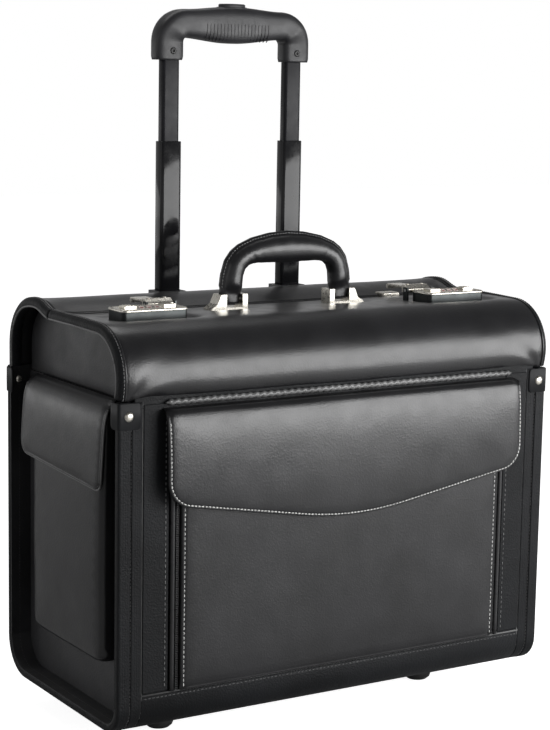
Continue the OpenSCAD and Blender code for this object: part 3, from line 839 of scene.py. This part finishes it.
def front_flap():
    """The pointed flap: rolled top, soft crown, and a row of stitches inside its edge."""
    low, high = box_mm("front_flap")
    outline = flap_outline(low, high)

    def crown(u, v, d):
        return puffed(d, 2.6, 17) + 0.5 * wave(u, 0, v, 90, 21) + 0.2 * wave(u, 3, v, 30, 5)

    def place(u, v, h):
        s = high.z + 3 - v
        return (u, FRONT - 2.2 - (puffed(s, 8.0, 0.7) + puffed(s, 4.5, 14) + 0.02 * s) - h, v)

    edge = [(0.0, 1.2), (0.3, 2.2), (0.9, 2.8), (1.6, 2.9), (2.4, 2.6), (3.2, 3.0), (5.2, 3.2)]
    flap = pad("front_flap_leather", outline, edge, crown, place, 0.0)
    soft(flap, "leather", "front_flap", "front_flap")
    run = stitch_line(outline, 2.4, lambda u, v: place(u, v, 2.7), (0, -1, 0), high.z - 4)
    sew("front_flap_thread", [run], "thread", "front_flap", 3.7, 2.9, 0.68)
    bridge("front_flap_hinge", (low.x + 6, FRONT - 4.2, high.z - 6.5),
           (high.x - 6, FRONT - 2.6, high.z - 0.5), ("case", "front_flap"),
           [(0, FRONT - 3.4, high.z + z) for z in (-5.5, -1.0)])


def stitch_line(outline, inset, place, normal, top):
    """The stitches' path inside an outline, left open along its top."""
    normals = outline_normals(outline)
    run = [((u + n[0] * inset, v + n[1] * inset), v) for (u, v), n in zip(outline, normals)]
    first = next(i for i in range(len(run)) if run[i - 1][1] >= top > run[i][1])
    run = run[first:] + run[:first]
    return [(place(*p), normal) for p, v in run if v < top]


# ---- ends
def side_pockets():
    """A soft box pocket on each end board, and its flap."""
    for side in SIDES:
        name = SIDE_NAME[side]
        low, high = box_mm(f"{name}_side_pocket")
        outline = round_rect(low.y, low.z, high.y, high.z, (9, 9, 3, 3), 6)

        def crown(u, v, d, side=side):
            return puffed(d, 2.6, 22) + 0.8 * wave(u, 7, v, 70, 2 * side)

        def place(u, v, h, side=side, top=high.z):
            pull = 2.6 * smoothstep(top - 90, top, v) * smoothstep(9, 15, h)
            return (side * (END_X + h - pull), u, v)

        edge = [(0.0, 5.0), (0.4, 9.5), (1.2, 12.6), (2.8, 14.4), (5.5, 15.3)]
        pocket = pad(f"{name}_end_pocket", outline, edge, crown, place, 0.2, 9)
        soft(pocket, "leather", "case", f"{name}_side_pocket")
        side_flap(side, name)


def side_flap(side, name):
    """Flap over an end pocket: rolled over at the top, flared, and piped along its edge in pale
    leather as a painted highlight.
    """
    body = f"{name}_pocket_flap"
    low, high = box_mm(body)
    width, height, shear = high.y - low.y, high.z - low.z, 8
    outline = [(y, z + shear * (y - low.y) / width * (high.z - z) / height)
               for y, z in round_rect(low.y, low.z, high.y, high.z, (9, 15, 4, 4), 5)]

    def crown(u, v, d):
        return puffed(d, 1.9, 14) + 0.6 * wave(u, 2, v, 60, 4 * side)

    def place(u, v, h):
        s = high.z - v
        return (side * (END_X + 5.2 + (puffed(s, 11.0, 8) + 4.7 * s / height) + h), u, v)

    edge = [(0.0, 1.0), (0.3, 2.0), (1.0, 2.6), (2.2, 2.6), (3.0, 2.1), (3.8, 2.5)]
    flap = pad(f"{name}_flap_leather", outline, edge, crown, place, 0.0)
    soft(flap, "leather_flat", body, body)
    seam_line, edge_line = (
        stitch_line(outline, inset, lambda u, v: place(u, v, h), (side, 0, 0), high.z - 8)
        for inset, h in ((3.0, 2.2), (0.5, 1.6)))
    sew(f"{name}_flap_thread", [seam_line], "thread_dark", body, 3.8, 2.7, 0.34)
    # Pale piping round the flap's edge: a painted highlight.
    cord(f"{name}_flap_piping", [p for p, _ in edge_line], "piping_painted_highlight", body, 0.9, 8)
    corners = ordered((side * (END_X + 0.4), low.y + 6, high.z - 4),
                      (side * (END_X + 6.0), high.y - 6, high.z - 1.4))
    bridge(f"{name}_flap_hinge", *corners, ("case", body),
           [(side * (END_X + x), 0, high.z - 2) for x in (1.0, 5.0)], 0.9)


# ---- lid and hood
LEATHER_X = HALF_W - 5.5                   # where the lid's leather meets its end rims
ARC_R = 48.0                               # the lid's round front corner
ARC_Y, ARC_Z = FRONT - 4.6 + ARC_R, SEAM_Z + 17
CREST = ARC_Z + ARC_R


def lid_path(count):
    """The outside of the lid's end rims, from the front seam over the round corner to the back."""
    arc = [p for p, _ in arc_path((ARC_Y, ARC_Z), ARC_R, 200, 95, 3)]
    return smooth_path(arc + [(-30, CREST + 0.6), (HOOD_EDGE - 4, CREST + 0.4)], count)


def hood_arc(extra):
    """The hood's round back and the straight part under it."""
    centre = (HOOD_BACK - HOOD_R, HOOD_TOP - HOOD_R)
    arc = [p for p, _ in arc_path(centre, HOOD_R + extra, 82, 0, 3)]
    return arc + [(HOOD_BACK + extra, centre[1] - 12), (HOOD_BACK + extra, SEAM_Z)]


def flared(flare, back, count, rounds):
    """A hood path: (distance behind its front edge, height over its top) points, then its back."""
    return smooth_path([(HOOD_EDGE + y, HOOD_TOP + z) for y, z in flare] + back, count, rounds)


def hood_path(count):
    """The outside of the hood's end rims: up from the lid in a soft flare, then down the back."""
    flare = ((-3, -6.6), (3, -5.4), (10, -2.8), (17, -0.4), (24, 0.9), (32, 1.1), (40, 0.6))
    return flared(flare, hood_arc(0.0), count, 3)


def hood_middle_path(count):
    """The hood's outside between the rims, with a lower front edge."""
    flare = ((0, -11.2), (7, -9.0), (15, -6.4), (24, -4.2), (32, -2.8), (40, -2.0))
    back = [(y, z - 2.0) if z > HOOD_TOP - 20 else (y, z) for y, z in hood_arc(0.6)]
    return flared(flare, back, count, 4)


def hardware_dent(x, y):
    """How far the lid's leather is pressed in round the locks and the handle's brackets."""
    depth = 0.0
    for node, width in (("lock_bodies", LOCK_W + 1), ("handle_brackets", 41)):
        low, high = box_mm(node)
        dx = max(high.x - width - abs(x), abs(x) - high.x, 0.0)
        dy = max(low.y - y, y - high.y, 0.0)
        depth = max(depth, 1 - smoothstep(1, 16, hypot(dx, dy)))
    return depth


def leather_rows(count):
    """The x of each row across the lid or hood, closer together at the rims, and how far inside
    the rims it is."""
    for k in range(count):
        f = -1 + 2 * k / (count - 1)
        x = LEATHER_X * copysign(1 - (1 - abs(f)) ** 1.35, f)
        yield x, LEATHER_X - abs(x)


def lid_leather():
    """Padded leather over the lid: full in the middle, drawn in at the rims and lower corners."""
    count, bed_z = 64, 399.3               # bed_z is where the locks and brackets sit
    rim = lid_path(count)
    arc = [p for p, _ in arc_path((ARC_Y, ARC_Z), ARC_R, 200, 90, 3) if p[1] > SEAM_Z + 21]
    top = [(ARC_Y + (SPLIT + 1.5 - ARC_Y) * k / 20, CREST - 4.6 * (k / 20) ** 1.6)
           for k in range(1, 21)]
    tuck_under = [(FRONT + 0.2, SEAM_Z - 0.4), (FRONT - 2.8, SEAM_Z + 3.6), (FRONT - 4.7, SEAM_Z + 9),
                  (FRONT - 5.3, SEAM_Z + 15)]
    full = smooth_path(tuck_under + arc + top, count, 2)
    rings = []
    for x, d in leather_rows(121):
        puff, dip = puffed(d, 1, 9.0), 1.3 * exp(-d / 2.5)
        inside, inner_x = max(0.0, d - 4) * 0.8, copysign(min(abs(x), RIM_X - 0.3), x)
        outer, inner = [], []
        for ((ry, rz), (ny, nz)), ((fy, fz), _) in zip(rim, full):
            y, z = ry + (fy - ry) * puff, rz + (fz - rz) * puff
            reach = hypot((d - 4) * 0.8, z - SEAM_Z)
            angle = atan2(z - SEAM_Z, inside + 1e-6)
            folds = exp(-reach / 24) * (0.9 + 1.7 * cos(angle * 7.0)) * smoothstep(2, 12, d)
            out = puff * (0.5 * wave(x, y, z, 80, 1) + 0.18 * wave(x, y, z, 26, 6)) - folds - dip
            if nz > 0.9:
                out -= (z - bed_z) * hardware_dent(x, y)
            outer.append((x, y + ny * out, z + nz * out))
            inner.append((inner_x, y - ny * 5.4, z - nz * 5.4))
        _, y, z = outer[0]
        rings.append([(x, y + 2.0, z - 1.6)] + outer + inner[::-1])
    soft(loft("lid_leather", rings), "leather", "front_lid", "front_lid")
    edge = [(x, SPLIT + 1.2, CREST - 6.8) for x in
            (-LEATHER_X + 3, -RIM_X / 2, 0, RIM_X / 2, LEATHER_X - 3)]
    cord("lid_back_piping", edge, "piping", "front_lid", 2.0, 12)
    bridge("lid_hinge_leather", (-RIM_X + 6, FRONT - 1.2, HINGE.z - 3),
           (RIM_X - 6, FRONT + 0.4, HINGE.z + 16), ("front_lid", "case"),
           [(0, FRONT - 0.4, HINGE.z + z) for z in (8, -1)], rows=4)


def end_rim(name, path, body, replaces):
    """The rim at each end of the lid or hood: leather turned over the edge, with a sewn seam."""
    section = ((-5.0, -1.6), (-0.8, -1.2), (0.6, -0.1), (2.2, 0.0), (3.8, -0.8), (5.2, -2.4),
               (5.9, -4.6), (6.0, -7.6), (5.6, -9.0), (4.2, -9.8), (-3.5, -9.8), (-5.0, -8.4))
    for side in SIDES:
        end = SIDE_NAME[side]
        dress(band(f"{name}_{end}", path, [(side * (LEATHER_X + dx), n) for dx, n in section]),
              "leather_trim", body, replaces if side > 0 else ())
        cord(f"{name}_piping_{end}", offset(path, side * (LEATHER_X - 0.2), -0.4), "piping", body, 0.9)
        # Pale cord along each rim's lower edge: a painted edge highlight.
        cord(f"{name}_edge_{end}", offset(path, side * (LEATHER_X + 5.6), -8.4), "piping_painted_highlight", body,
             1.0)
        run = seam(path, side * (LEATHER_X + 2.2), 0.1, 1, side * 0.2)
        sew(f"{name}_thread_{end}", [run], "thread_mid", body, 3.4, 2.4, 0.3)


def hood_leather():
    """Leather over the fixed hood, holed for the trolley collars, with a rolled front edge."""
    count = 60
    rim, middle = hood_path(count), hood_middle_path(count)
    rings = []
    for x, d in leather_rows(65):
        puff, dip = puffed(d, 1, 10.0), 1.2 * exp(-d / 2.5)
        outer, inner = [], []
        for ((ry, rz), (ny, nz)), ((my, mz), _) in zip(rim, middle):
            y, z = ry + (my - ry) * puff, rz + (mz - rz) * puff
            out = puff * 0.35 * wave(x, y, z, 60, 8) - dip
            outer.append((x, y + ny * out, z + nz * out))
            inner.append((x, y - ny * 5.0, z - nz * 5.0))
        rings.append(outer + inner[::-1])
    hood = loft("hood_leather", rings)
    low, high = box_mm("tube_collars")
    for side in SIDES:
        cut(hood, *ordered((side * (high.x - 30), low.y + 1, low.z),
                           (side * (high.x - 1), high.y - 1, high.z + 20)))
    soft(hood, "leather", "case", "rear_hood")
    rim_z, middle_z = rim[0][0][1], middle[0][0][1]
    roll = []
    for k in range(61):
        x = LEATHER_X * (-1 + 2 * k / 60)
        puff = puffed(LEATHER_X - abs(x), 1, 9.0)
        roll.append((x, HOOD_EDGE + 2.4 * puff - 2.4, rim_z + (middle_z - rim_z) * puff - 2.4))
    cord("hood_front_roll", roll, "piping", "case", 2.2, 14)
    # Pale cord under the hood's front edge: a painted highlight.
    line = [(x, HOOD_EDGE - 4.2, HOOD_TOP - 14.6) for x in (-LEATHER_X + 8, 0, LEATHER_X - 8)]
    cord("hood_edge_piping", line, "piping_painted_highlight", "case", 0.8)
    inner = END_X - 8
    trim("hood_ledge", (-inner, SPLIT - 8, RIM_TOP - 14), (inner, HOOD_EDGE + 6, RIM_TOP - 7), 1)
    line = [(x, BACK + 0.4, SEAM_Z + 0.4) for x in (-LEATHER_X + 2, 0, LEATHER_X - 2)]
    cord("hood_back_piping", line, "piping", "case", 2.0, 12)


def end_caps():
    """Leather-covered panel above each side pocket, with a turned edge."""
    front, back, foot = box_mm("right_end_cap")[0].y + 0.5, HOOD_BACK - 8.5, SEAM_Z - 4.5
    line = [(min(max(y, front), back), z)
            for _, y, z in offset(lid_path(40) + hood_path(60), 0, -9.6) if z > SEAM_Z + 2]
    outline = [(front, foot), (back, foot)] + line[::-1]
    outline = densify([p for i, p in enumerate(outline)
                       if hypot(p[0] - outline[i - 1][0], p[1] - outline[i - 1][1]) > 1.5], 6)

    def crown(u, v, d):
        return puffed(d, 0.7, 12) + 0.25 * wave(u, 1, v, 60, 3)

    for side in SIDES:
        name = SIDE_NAME[side]
        cap = pad(f"{name}_cap_leather", outline, [(0.0, 0.2), (0.6, 0.9), (1.6, 1.2)], crown,
                  lambda u, v, h, side=side: (side * (END_X - 0.6 + h), u, v), -4.4, 9)
        # The lighter end leather paints the light falling on the ends.
        dress(cap, "end_panel", "case", [f"{name}_end_cap"])


# ---- carry handle
# Half of the arch's outside and inside, from a pin to the middle, as (half width, height).
OUTER_ARCH = ((71.5, 3.0), (72.4, 6), (76, 13), (76, 19), (74.6, 31), (70.2, 45.5), (63.4, 54.5),
              (55, 60.5), (40, 66.6), (20, 70.8), (0, 72.2))
INNER_ARCH = ((54, 3.0), (53.5, 6), (52, 12), (51.6, 19), (51, 29), (48.6, 36), (43.6, 40.2),
              (37.5, 41.6), (26, 41.5), (12, 41.2), (0, 41.0))


def arch_line(points, base):
    """The whole arch as evenly spaced points, from its half outline."""
    half = [p for p, _ in resample([((-x, base + z), (0, 1)) for x, z in points], 46)]
    return half + [(-x, z) for x, z in half[-2::-1]]


def carry_handle():
    """Leather-covered arch: straps at the pins, a full grip, and a sewn flange along its back."""
    low, high = box_mm("handle_grip")
    y0, base, sides = (low.y + high.y) / 2, low.z - 2.5, 32
    outer, inner = arch_line(OUTER_ARCH, base), arch_line(INNER_ARCH, base)
    rings, seams = [], ([], [])
    total = len(outer) - 1
    for i, (a, b) in enumerate(zip(outer, inner)):
        s = min(i, total - i) / (total / 2)
        x, z = (a[0] + b[0]) / 2, (a[1] + b[1]) / 2
        half = hypot(a[0] - b[0], a[1] - b[1]) / 2
        nx, nz = (a[0] - b[0]) / (2 * half), (a[1] - b[1]) / (2 * half)
        grip = smoothstep(0.1, 0.2, s)
        deep = 4.8 + 5.0 * grip + 1.8 * smoothstep(0.5, 0.95, s)
        crease = exp(-((s - 0.56) / 0.02) ** 2) + 0.7 * exp(-((s - 0.5) / 0.015) ** 2)
        wrinkle = (0.3 * wave(x, 0, z, 8, 2) - 0.5 * crease) * grip
        flange = 4.0 * grip
        ring = []
        for k in range(sides):
            t = 2 * pi * k / sides
            out = (half - flange / 2) * cos(t) - flange / 2
            side = deep * power(sin(t), 0.85)
            step = min(k, sides - k)
            if step <= 3 and grip > 0.5:
                out = half - (0.0, 0.2, 4.0, 4.7)[step]
                side = copysign((0.0, 1.7, 2.1, 0.47 * deep)[step], sin(t))
            out += wrinkle if cos(t) < 0.8 else 0.0
            ring.append((x + nx * out, y0 + side * (1 + wrinkle / 9), z + nz * out))
        rings.append(ring)
        if s > 0.12:
            out = half - 2.1
            for face, line in zip((1, -1), seams):
                line.append(((x + nx * out, y0 + face * 2.0, z + nz * out), (0, face, 0)))
    soft(loft("carry_grip", rings), "leather_soft", "carry_handle", "handle_grip")
    sew("carry_grip_thread", seams, "thread_mid", "carry_handle", 3.2, 2.4, 0.45)


# ---- trolley
def oval(name, profile, half_x, half_y, y, z):
    """A (share of the half widths, height) profile on an oval plan, in millimetres."""
    obj = revolve(name, profile, (0, 0, 0), (0, 0, 1), 48)
    obj.data.transform(Matrix.Diagonal((half_x, half_y, 1, 1)))
    obj.data.transform(Matrix.Translation(Vector((0, y, z)) * MM))
    return obj


def trolley_grip():
    """Moulded grip: sockets, round shoulders, arched bar with finger ridges, and a button."""
    body = "trolley_inner"
    low, high = box_mm("trolley_grip")
    y0, leg, bar, sides = (low.y + high.y) / 2, high.x - 17.6, high.z - 18.4, 32
    path = fillet_path([(-leg, low.z), (-leg, bar + 1.2), (0, bar), (leg, bar + 1.2), (leg, low.z)],
                       [18.5, 400, 18.5], 3)
    path = resample(path, 110)
    rings = []
    total = len(path) - 1
    for i, ((x, z), (nx, nz)) in enumerate(path):
        s = min(i, total - i) / (total / 2)
        shoulder = smoothstep(0.16, 0.32, s)
        half = 15.6 - 1.3 * shoulder + 4.0 * smoothstep(0.45, 0.95, s)
        half -= 1.2 * max(0.0, 1 - s / 0.03)
        deep = 10.5 + 3.4 * shoulder
        ring = []
        for a in (2 * pi * k / sides for k in range(sides)):
            out = half * power(cos(a), 0.55)
            ring.append((x + nx * out, y0 + deep * power(sin(a), 0.55), z + nz * out))
        rings.append(ring)
    dress(loft("grip_moulding", rings), "black_plastic", body, ["trolley_grip"])
    ridges = []
    for x in range(-36, 40, 4):
        arc = []
        for a in (radians(-60 + 75 * j / 8) for j in range(9)):
            drop = 16.4 * abs(sin(a)) ** 0.6 * (1 if a < 0 else -0.3)
            arc.append((x, y0 - 13.7 * cos(a) ** 0.55, bar - 1 - drop))
        ridges.append(rope("ridge", arc, 0.5, 8))
    dress(join("grip_ridges", ridges), "black_plastic", body)
    ledge = [(1.0, -1.0), (1.05, -1.0), (1.05, 0.6), (1.0, 0.9)]
    dress(oval("collar", ledge, 16.4, 9.0, y0, high.z - 0.8), "black_plastic", body)
    dome = [(0.98, -7.0), (0.98, 3.9), (0.95, 4.6), (0.88, 5.0), (0.6, 5.15), (0.2, 5.2), (0.01, 5.2)]
    button = oval("push_button", dome, 15.5, 8.0, y0, box_mm("grip_button")[1].z - 6.8)
    dress(button, "black_plastic", "grip_button", ["grip_button"])
    head = [(3.4, -0.5), (3.4, 0.3), (2.6, 0.9), (0.9, 1.0), (0.9, 0.3), (0.02, 0.3)]
    screws = [revolve("screw", head, (side * (leg - 1.5), y0 - 10.4, low.z + 9), (0, -1, 0), 32)
              for side in SIDES]
    dress(join("grip_screw_heads", screws), "screw_black", body, ["grip_screws"])


def trolley_tubes():
    """Drawn tubes with round corners and slightly full faces."""
    for node, body, material, half_x, half_y, bow in (
            ("middle_tubes", "trolley_middle", "tube_paint", 11.1, 7.0, 1.0),
            ("inner_tubes", "trolley_inner", "tube_satin", 9.2, 5.3, 0.6)):
        low, high = box_mm(node)
        outline = []
        for u, v in round_rect(-half_x, -half_y, half_x, half_y, (1.6,) * 4, 1.2):
            grow_x = bow * (1 - (v / half_y) ** 2) if abs(u) > half_x - 0.1 else 0.0
            grow_y = bow * (1 - (u / half_x) ** 2) if abs(v) > half_y - 0.1 else 0.0
            outline.append((u + copysign(grow_x, u), v + copysign(grow_y, v)))
        tubes = []
        for side in SIDES:
            x0, y0 = side * (high.x - half_x + 0.6), (low.y + high.y) / 2
            rings = [[(x0 + u * fx, y0 + v * fy, z) for u, v in outline] for fx, fy, z in
                     ((1, 1, low.z), (1, 1, high.z - 0.5), (0.98, 0.97, high.z),
                      (0.86, 0.8, high.z), (0.86, 0.8, high.z - 6))]
            tubes.append(loft("tube", rings))
        dress(join(f"{node}_drawn", tubes), material, body, [node])


# ---- locks
def lock_hardware():
    """A bright raised frame round the top plate of each lock."""
    low, high = box_mm("lock_bodies")
    base = box_mm("lock_plates")[0].z
    path = round_rect(high.x - LOCK_W, low.y, high.x, low.y + LOCK_D, (4,) * 4, 2)
    normals = outline_normals(path)
    profile = ((-0.2, -0.6), (-0.5, -0.1), (-0.4, 0.9), (0.2, 1.7), (1.2, 1.9), (1.8, 1.5), (1.8, 1.0))
    frames = [loft("frame", [[(side * (u + nu * inset), v + nv * inset, base + rise)
                              for (u, v), (nu, nv) in zip(path, normals)]
                             for inset, rise in profile], caps=False) for side in SIDES]
    dress(join("lock_frames", frames), "nickel", "front_lid")


def dial_digits():
    """A bar for each of the ten places on every dial."""
    for name in DIALS:
        low, high = box_mm(name)
        x, y, z = (low + high) / 2
        r = (high.z - low.z) / 2
        marks = []
        for k in range(10):
            mark = rounded_box("mark", (x - 1.5, -0.55, r - 0.25), (x + 1.5, 0.55, r + 0.12), 0.1, 1)
            turn = Matrix.Rotation(2 * pi * k / 10, 4, "X")
            mark.data.transform(Matrix.Translation(Vector((0, y, z)) * MM) @ turn)
            marks.append(mark)
        dress(join(f"{name}_marks", marks), "dial_mark", name)


def hasps():
    """Rounded hasp tongues with their knuckles, and the catches on the hood."""
    for side in SIDES:
        name = f"{SIDE_NAME[side]}_hasp"
        low, high = box_mm(name)
        pin_y, pin_z = low.y + 3, low.z + 3
        tip, middle = high.y - pin_y, (low.x + high.x) / 2
        knuckle = [(-2.6, 1.0), (-2.2, -1.4), (-0.6, -2.6), (9.5, -2.6), (9.5, 4.6), (8.9, 5.2),
                   (3.6, 5.2), (1.2, 3.4), (-1.4, 2.6)]
        tongue = [(4, 0.2), (tip - 5, 0.2), (tip - 4.2, -2.6), (tip - 1.2, -3), (tip, -1),
                  (tip - 0.4, 1.6), (tip - 1.8, 2.4), (14, 2.8), (6, 3.4)]
        parts = []
        for profile, half in ((knuckle, 14), (tongue, 8.5)):
            rings = [[(middle + dx, pin_y + y, pin_z + z) for y, z in profile] for dx in (-half, half)]
            parts.append(bevel(loft("hasp", rings), 0.5, 2, 40))
        eye = [(0.9, -0.2), (1.5, 0.1), (1.5, 0.5), (1.1, 0.7), (0.02, 0.7)]
        parts += [revolve("eye", eye, (middle + x, pin_y + 6.2, pin_z + 5.2), (0, 0, 1), 20)
                  for x in (-9, 9)]
        dress(join(f"{name}_tongue", parts), "nickel", name, [name])
    low, high = box_mm("hasp_catches")
    plates = [rounded_box("catch", *ordered((side * (high.x - 22), low.y, low.z - 4),
                                            (side * high.x, high.y, high.z - 1)), 1.4)
              for side in SIDES]
    dress(join("catch_plates", plates), "nickel", "case", ["hasp_catches"])


# ---- feet
def feet():
    """Domed glides with a turned rim."""
    low, high = box_mm("front_feet")
    y, top = (low.y + high.y) / 2, high.z - 0.2
    profile = [(0.02, 0.0), (6, 0.0), (10.5, 1.0), (13.4, 3.6), (14.9, 8), (15, 14), (15.6, 17),
               (15.6, top), (0.02, top)]
    parts = [revolve("foot", profile, (side * (high.x - 15), y, 0), (0, 0, 1), 48) for side in SIDES]
    dress(join("glide_feet", parts), "foot_rubber", "case", ["front_feet"])


# ---- lining
def lining():
    """Woven lining inside the case's walls and floor, and inside the lid."""
    front_low, front_high = box_mm("front_board")
    end_in = box_mm("right_end_board")[0].x - 0.4
    y0, y1 = front_high.y + 0.3, box_mm("trolley_cover")[0].y - 0.4
    floor_z, top = FLOOR_Z + (front_high.y - front_low.y) + 0.3, front_high.z - 1
    cloth = 1.2
    panels = [((-end_in, y0, floor_z + 18), (end_in, y0 + cloth, top)),
              ((-end_in, y0 + 16, floor_z), (end_in, y1, floor_z + cloth))]
    panels += [ordered((side * end_in, y0 + 1, floor_z + 20), (side * (end_in - cloth), y1, top))
               for side in SIDES]
    parts = [rounded_box("panel", low, high, 0.4, 2) for low, high in panels]
    dress(join("case_lining", parts), "lining", "case")
    half = RIM_X - 3
    inside = [((y - ny * 7.4, z - nz * 7.4), (ny, nz)) for (y, z), (ny, nz) in lid_path(50)[3:-3]]
    dress(band("lid_lining", inside, [(-half, -1.0), (half, -1.0), (half, 0), (-half, 0)]), "lining",
          "front_lid")


# ---- CAD nodes that stay
DIALS = [f"{SIDE_NAME[side]}_dial_{i}" for side in SIDES for i in (1, 2, 3)]
STAYING = {
    "leather_trim": ["front_board"],
    "leather_flat": ["back_board"],
    "base_board": ["bottom_board"],
    # The end boards take the lighter end leather, painted light on the ends.
    "end_panel": ["left_end_board", "right_end_board"],
    "lining": ["trolley_cover"],
    "tube_paint": ["outer_tubes"],
    "black_plastic": ["tube_collars", "wheel_housings"],
    "steel": ["trolley_base", "wheel_axles", "lock_axles", "handle_pins", "lock_pins"],
    "gunmetal": ["lock_bodies"],
    "nickel": ["lock_plates", "handle_brackets", "left_lock_slider", "right_lock_slider"],
    "tyre_rubber": ["left_tyre", "right_tyre"],
    "hub_plastic": ["left_hub", "right_hub"],
    "zip_metal": ["left_zip_slider", "right_zip_slider"],
    "dial_plastic": DIALS,
}


def finish_cad_nodes():
    """Gives the CAD nodes that stay visible their materials."""
    for material, nodes in STAYING.items():
        for node in nodes:
            for slot in frame["nodes"][node].material_slots:
                slot.material = MATERIALS[material]


# ---- studio
LIGHTS = (                                 # name, place, aim, size in metres, watts
    ("front_softbox", (0.78, -1.26, 0.555), (0, 0, 0.35), (1.6, 0.75), 29),
    ("left_softbox", (-2.6, 0.4, 1.2), (0, 0, 0.3), (1.2, 1.2), 3),
    ("low_left_panel", (-1.35, 1.7, 0.34), (-0.24, 0, 0.34), (1.8, 0.5), 3.2),
    ("top_fill", (0.0, 1.2, 2.6), (0, 0, 0.3), (2.4, 1.2), 20),
)
SKY = ((0.0, 0.62), (0.2, 0.55), (0.42, 0.2), (0.8, 0.14))     # height, grey of the reflections
CAMERA_AT = (-0.9951, -1.5893, 0.6287)
HEADING, TILT, ROLL = -31.9, 8.8, -1.0     # degrees
SENSOR, LENS = 36, 93.61973                # millimetres


def studio_floor():
    """A pale floor that the camera sees as nearly white."""
    bpy.ops.mesh.primitive_plane_add(size=14, location=(0, 0, 0))
    floor = bpy.context.object
    floor.name = "floor"
    s = Shader("floor_paint", (0.5, 0.5, 0.5), 0.7)
    s.vary_rough(s.noise(3, 2), 0.03)
    bright = s.node("BsdfPrincipled", Roughness=0.7, Base_Color=(0.8, 0.8, 0.8, 1),
                    Emission_Color=(1, 1, 1, 1), Emission_Strength=0.88)
    seen_by, choose = s.node("LightPath"), s.node("MixShader")
    s.link(seen_by.outputs["Is Camera Ray"], choose.inputs["Fac"])
    s.link(s.bsdf.outputs[0], choose.inputs[1])
    s.link(bright.outputs[0], choose.inputs[2])
    s.link(choose.outputs[0], s.tree.nodes["Material Output"].inputs["Surface"])
    floor.data.materials.append(s.mat)


def studio_sky():
    """A world that is white to the camera, and a soft gradient in light and reflections."""
    world = scene.world = bpy.data.worlds.new("studio")
    world.use_nodes = True
    nodes, link = world.node_tree.nodes, world.node_tree.links.new
    nodes.clear()
    out, seen, lit, mix, path, coord, split, ramp = (
        nodes.new(f"ShaderNode{kind}") for kind in
        ("OutputWorld", "Background", "Background", "MixShader", "LightPath", "TexCoord",
         "SeparateXYZ", "ValToRGB"))
    seen.inputs["Color"].default_value = (1, 1, 1, 1)
    stops = ramp.color_ramp.elements
    while len(stops) < len(SKY):
        stops.new(0.5)
    for stop, (height, grey) in zip(stops, SKY):
        stop.position = height
        stop.color = (grey, grey, grey * 1.01, 1)
    link(coord.outputs["Generated"], split.inputs[0])
    link(split.outputs["Z"], ramp.inputs["Fac"])
    link(ramp.outputs["Color"], lit.inputs["Color"])
    link(path.outputs["Is Camera Ray"], mix.inputs["Fac"])
    link(lit.outputs[0], mix.inputs[1])
    link(seen.outputs[0], mix.inputs[2])
    link(mix.outputs[0], out.inputs["Surface"])


def studio():
    """The floor and sky, one large soft light in front and three weaker ones."""
    studio_floor()
    studio_sky()
    for name, place, aim, size, power in LIGHTS:
        light = bpy.data.lights.new(name, "AREA")
        light.shape = "RECTANGLE"
        light.size, light.size_y = size
        light.energy = power
        obj = bpy.data.objects.new(name, light)
        scene.collection.objects.link(obj)
        obj.location = place
        obj.rotation_euler = (Vector(aim) - Vector(place)).to_track_quat("-Z", "Y").to_euler()


def camera():
    """The camera's place, its heading, tilt and roll, and its lens."""
    azimuth, elevation, roll = radians(HEADING), radians(TILT), radians(ROLL)
    back = Vector((sin(azimuth) * cos(elevation), -cos(azimuth) * cos(elevation), sin(elevation)))
    right = (-back).cross(Vector((0, 0, 1))).normalized()
    down = (-back).cross(right)
    x_axis = cos(roll) * right + sin(roll) * down
    y_axis = -(-sin(roll) * right + cos(roll) * down)
    data = bpy.data.cameras.new("camera")
    data.sensor_width, data.lens = SENSOR, LENS
    obj = bpy.data.objects.new("camera", data)
    scene.collection.objects.link(obj)
    turn = Matrix((x_axis, y_axis, back)).transposed().to_4x4()
    obj.matrix_world = Matrix.Translation(CAMERA_AT) @ turn
    scene.camera = obj


camera()
finish_cad_nodes()
for build in (edge_bindings, kick_strip, hinge_piping, corner_clips, front_facings, front_pocket,
              front_flap, side_pockets, lid_leather):
    build()
end_rim("lid_rim", lid_path(60), "front_lid", ["lid_bindings"])
hood_leather()
end_rim("hood_rim", hood_path(60), "case", ["hood_bindings"])
for build in (end_caps, carry_handle, trolley_grip, trolley_tubes, lock_hardware, dial_digits,
              hasps, feet, lining, studio):
    build()

scene.view_settings.view_transform = "Standard"
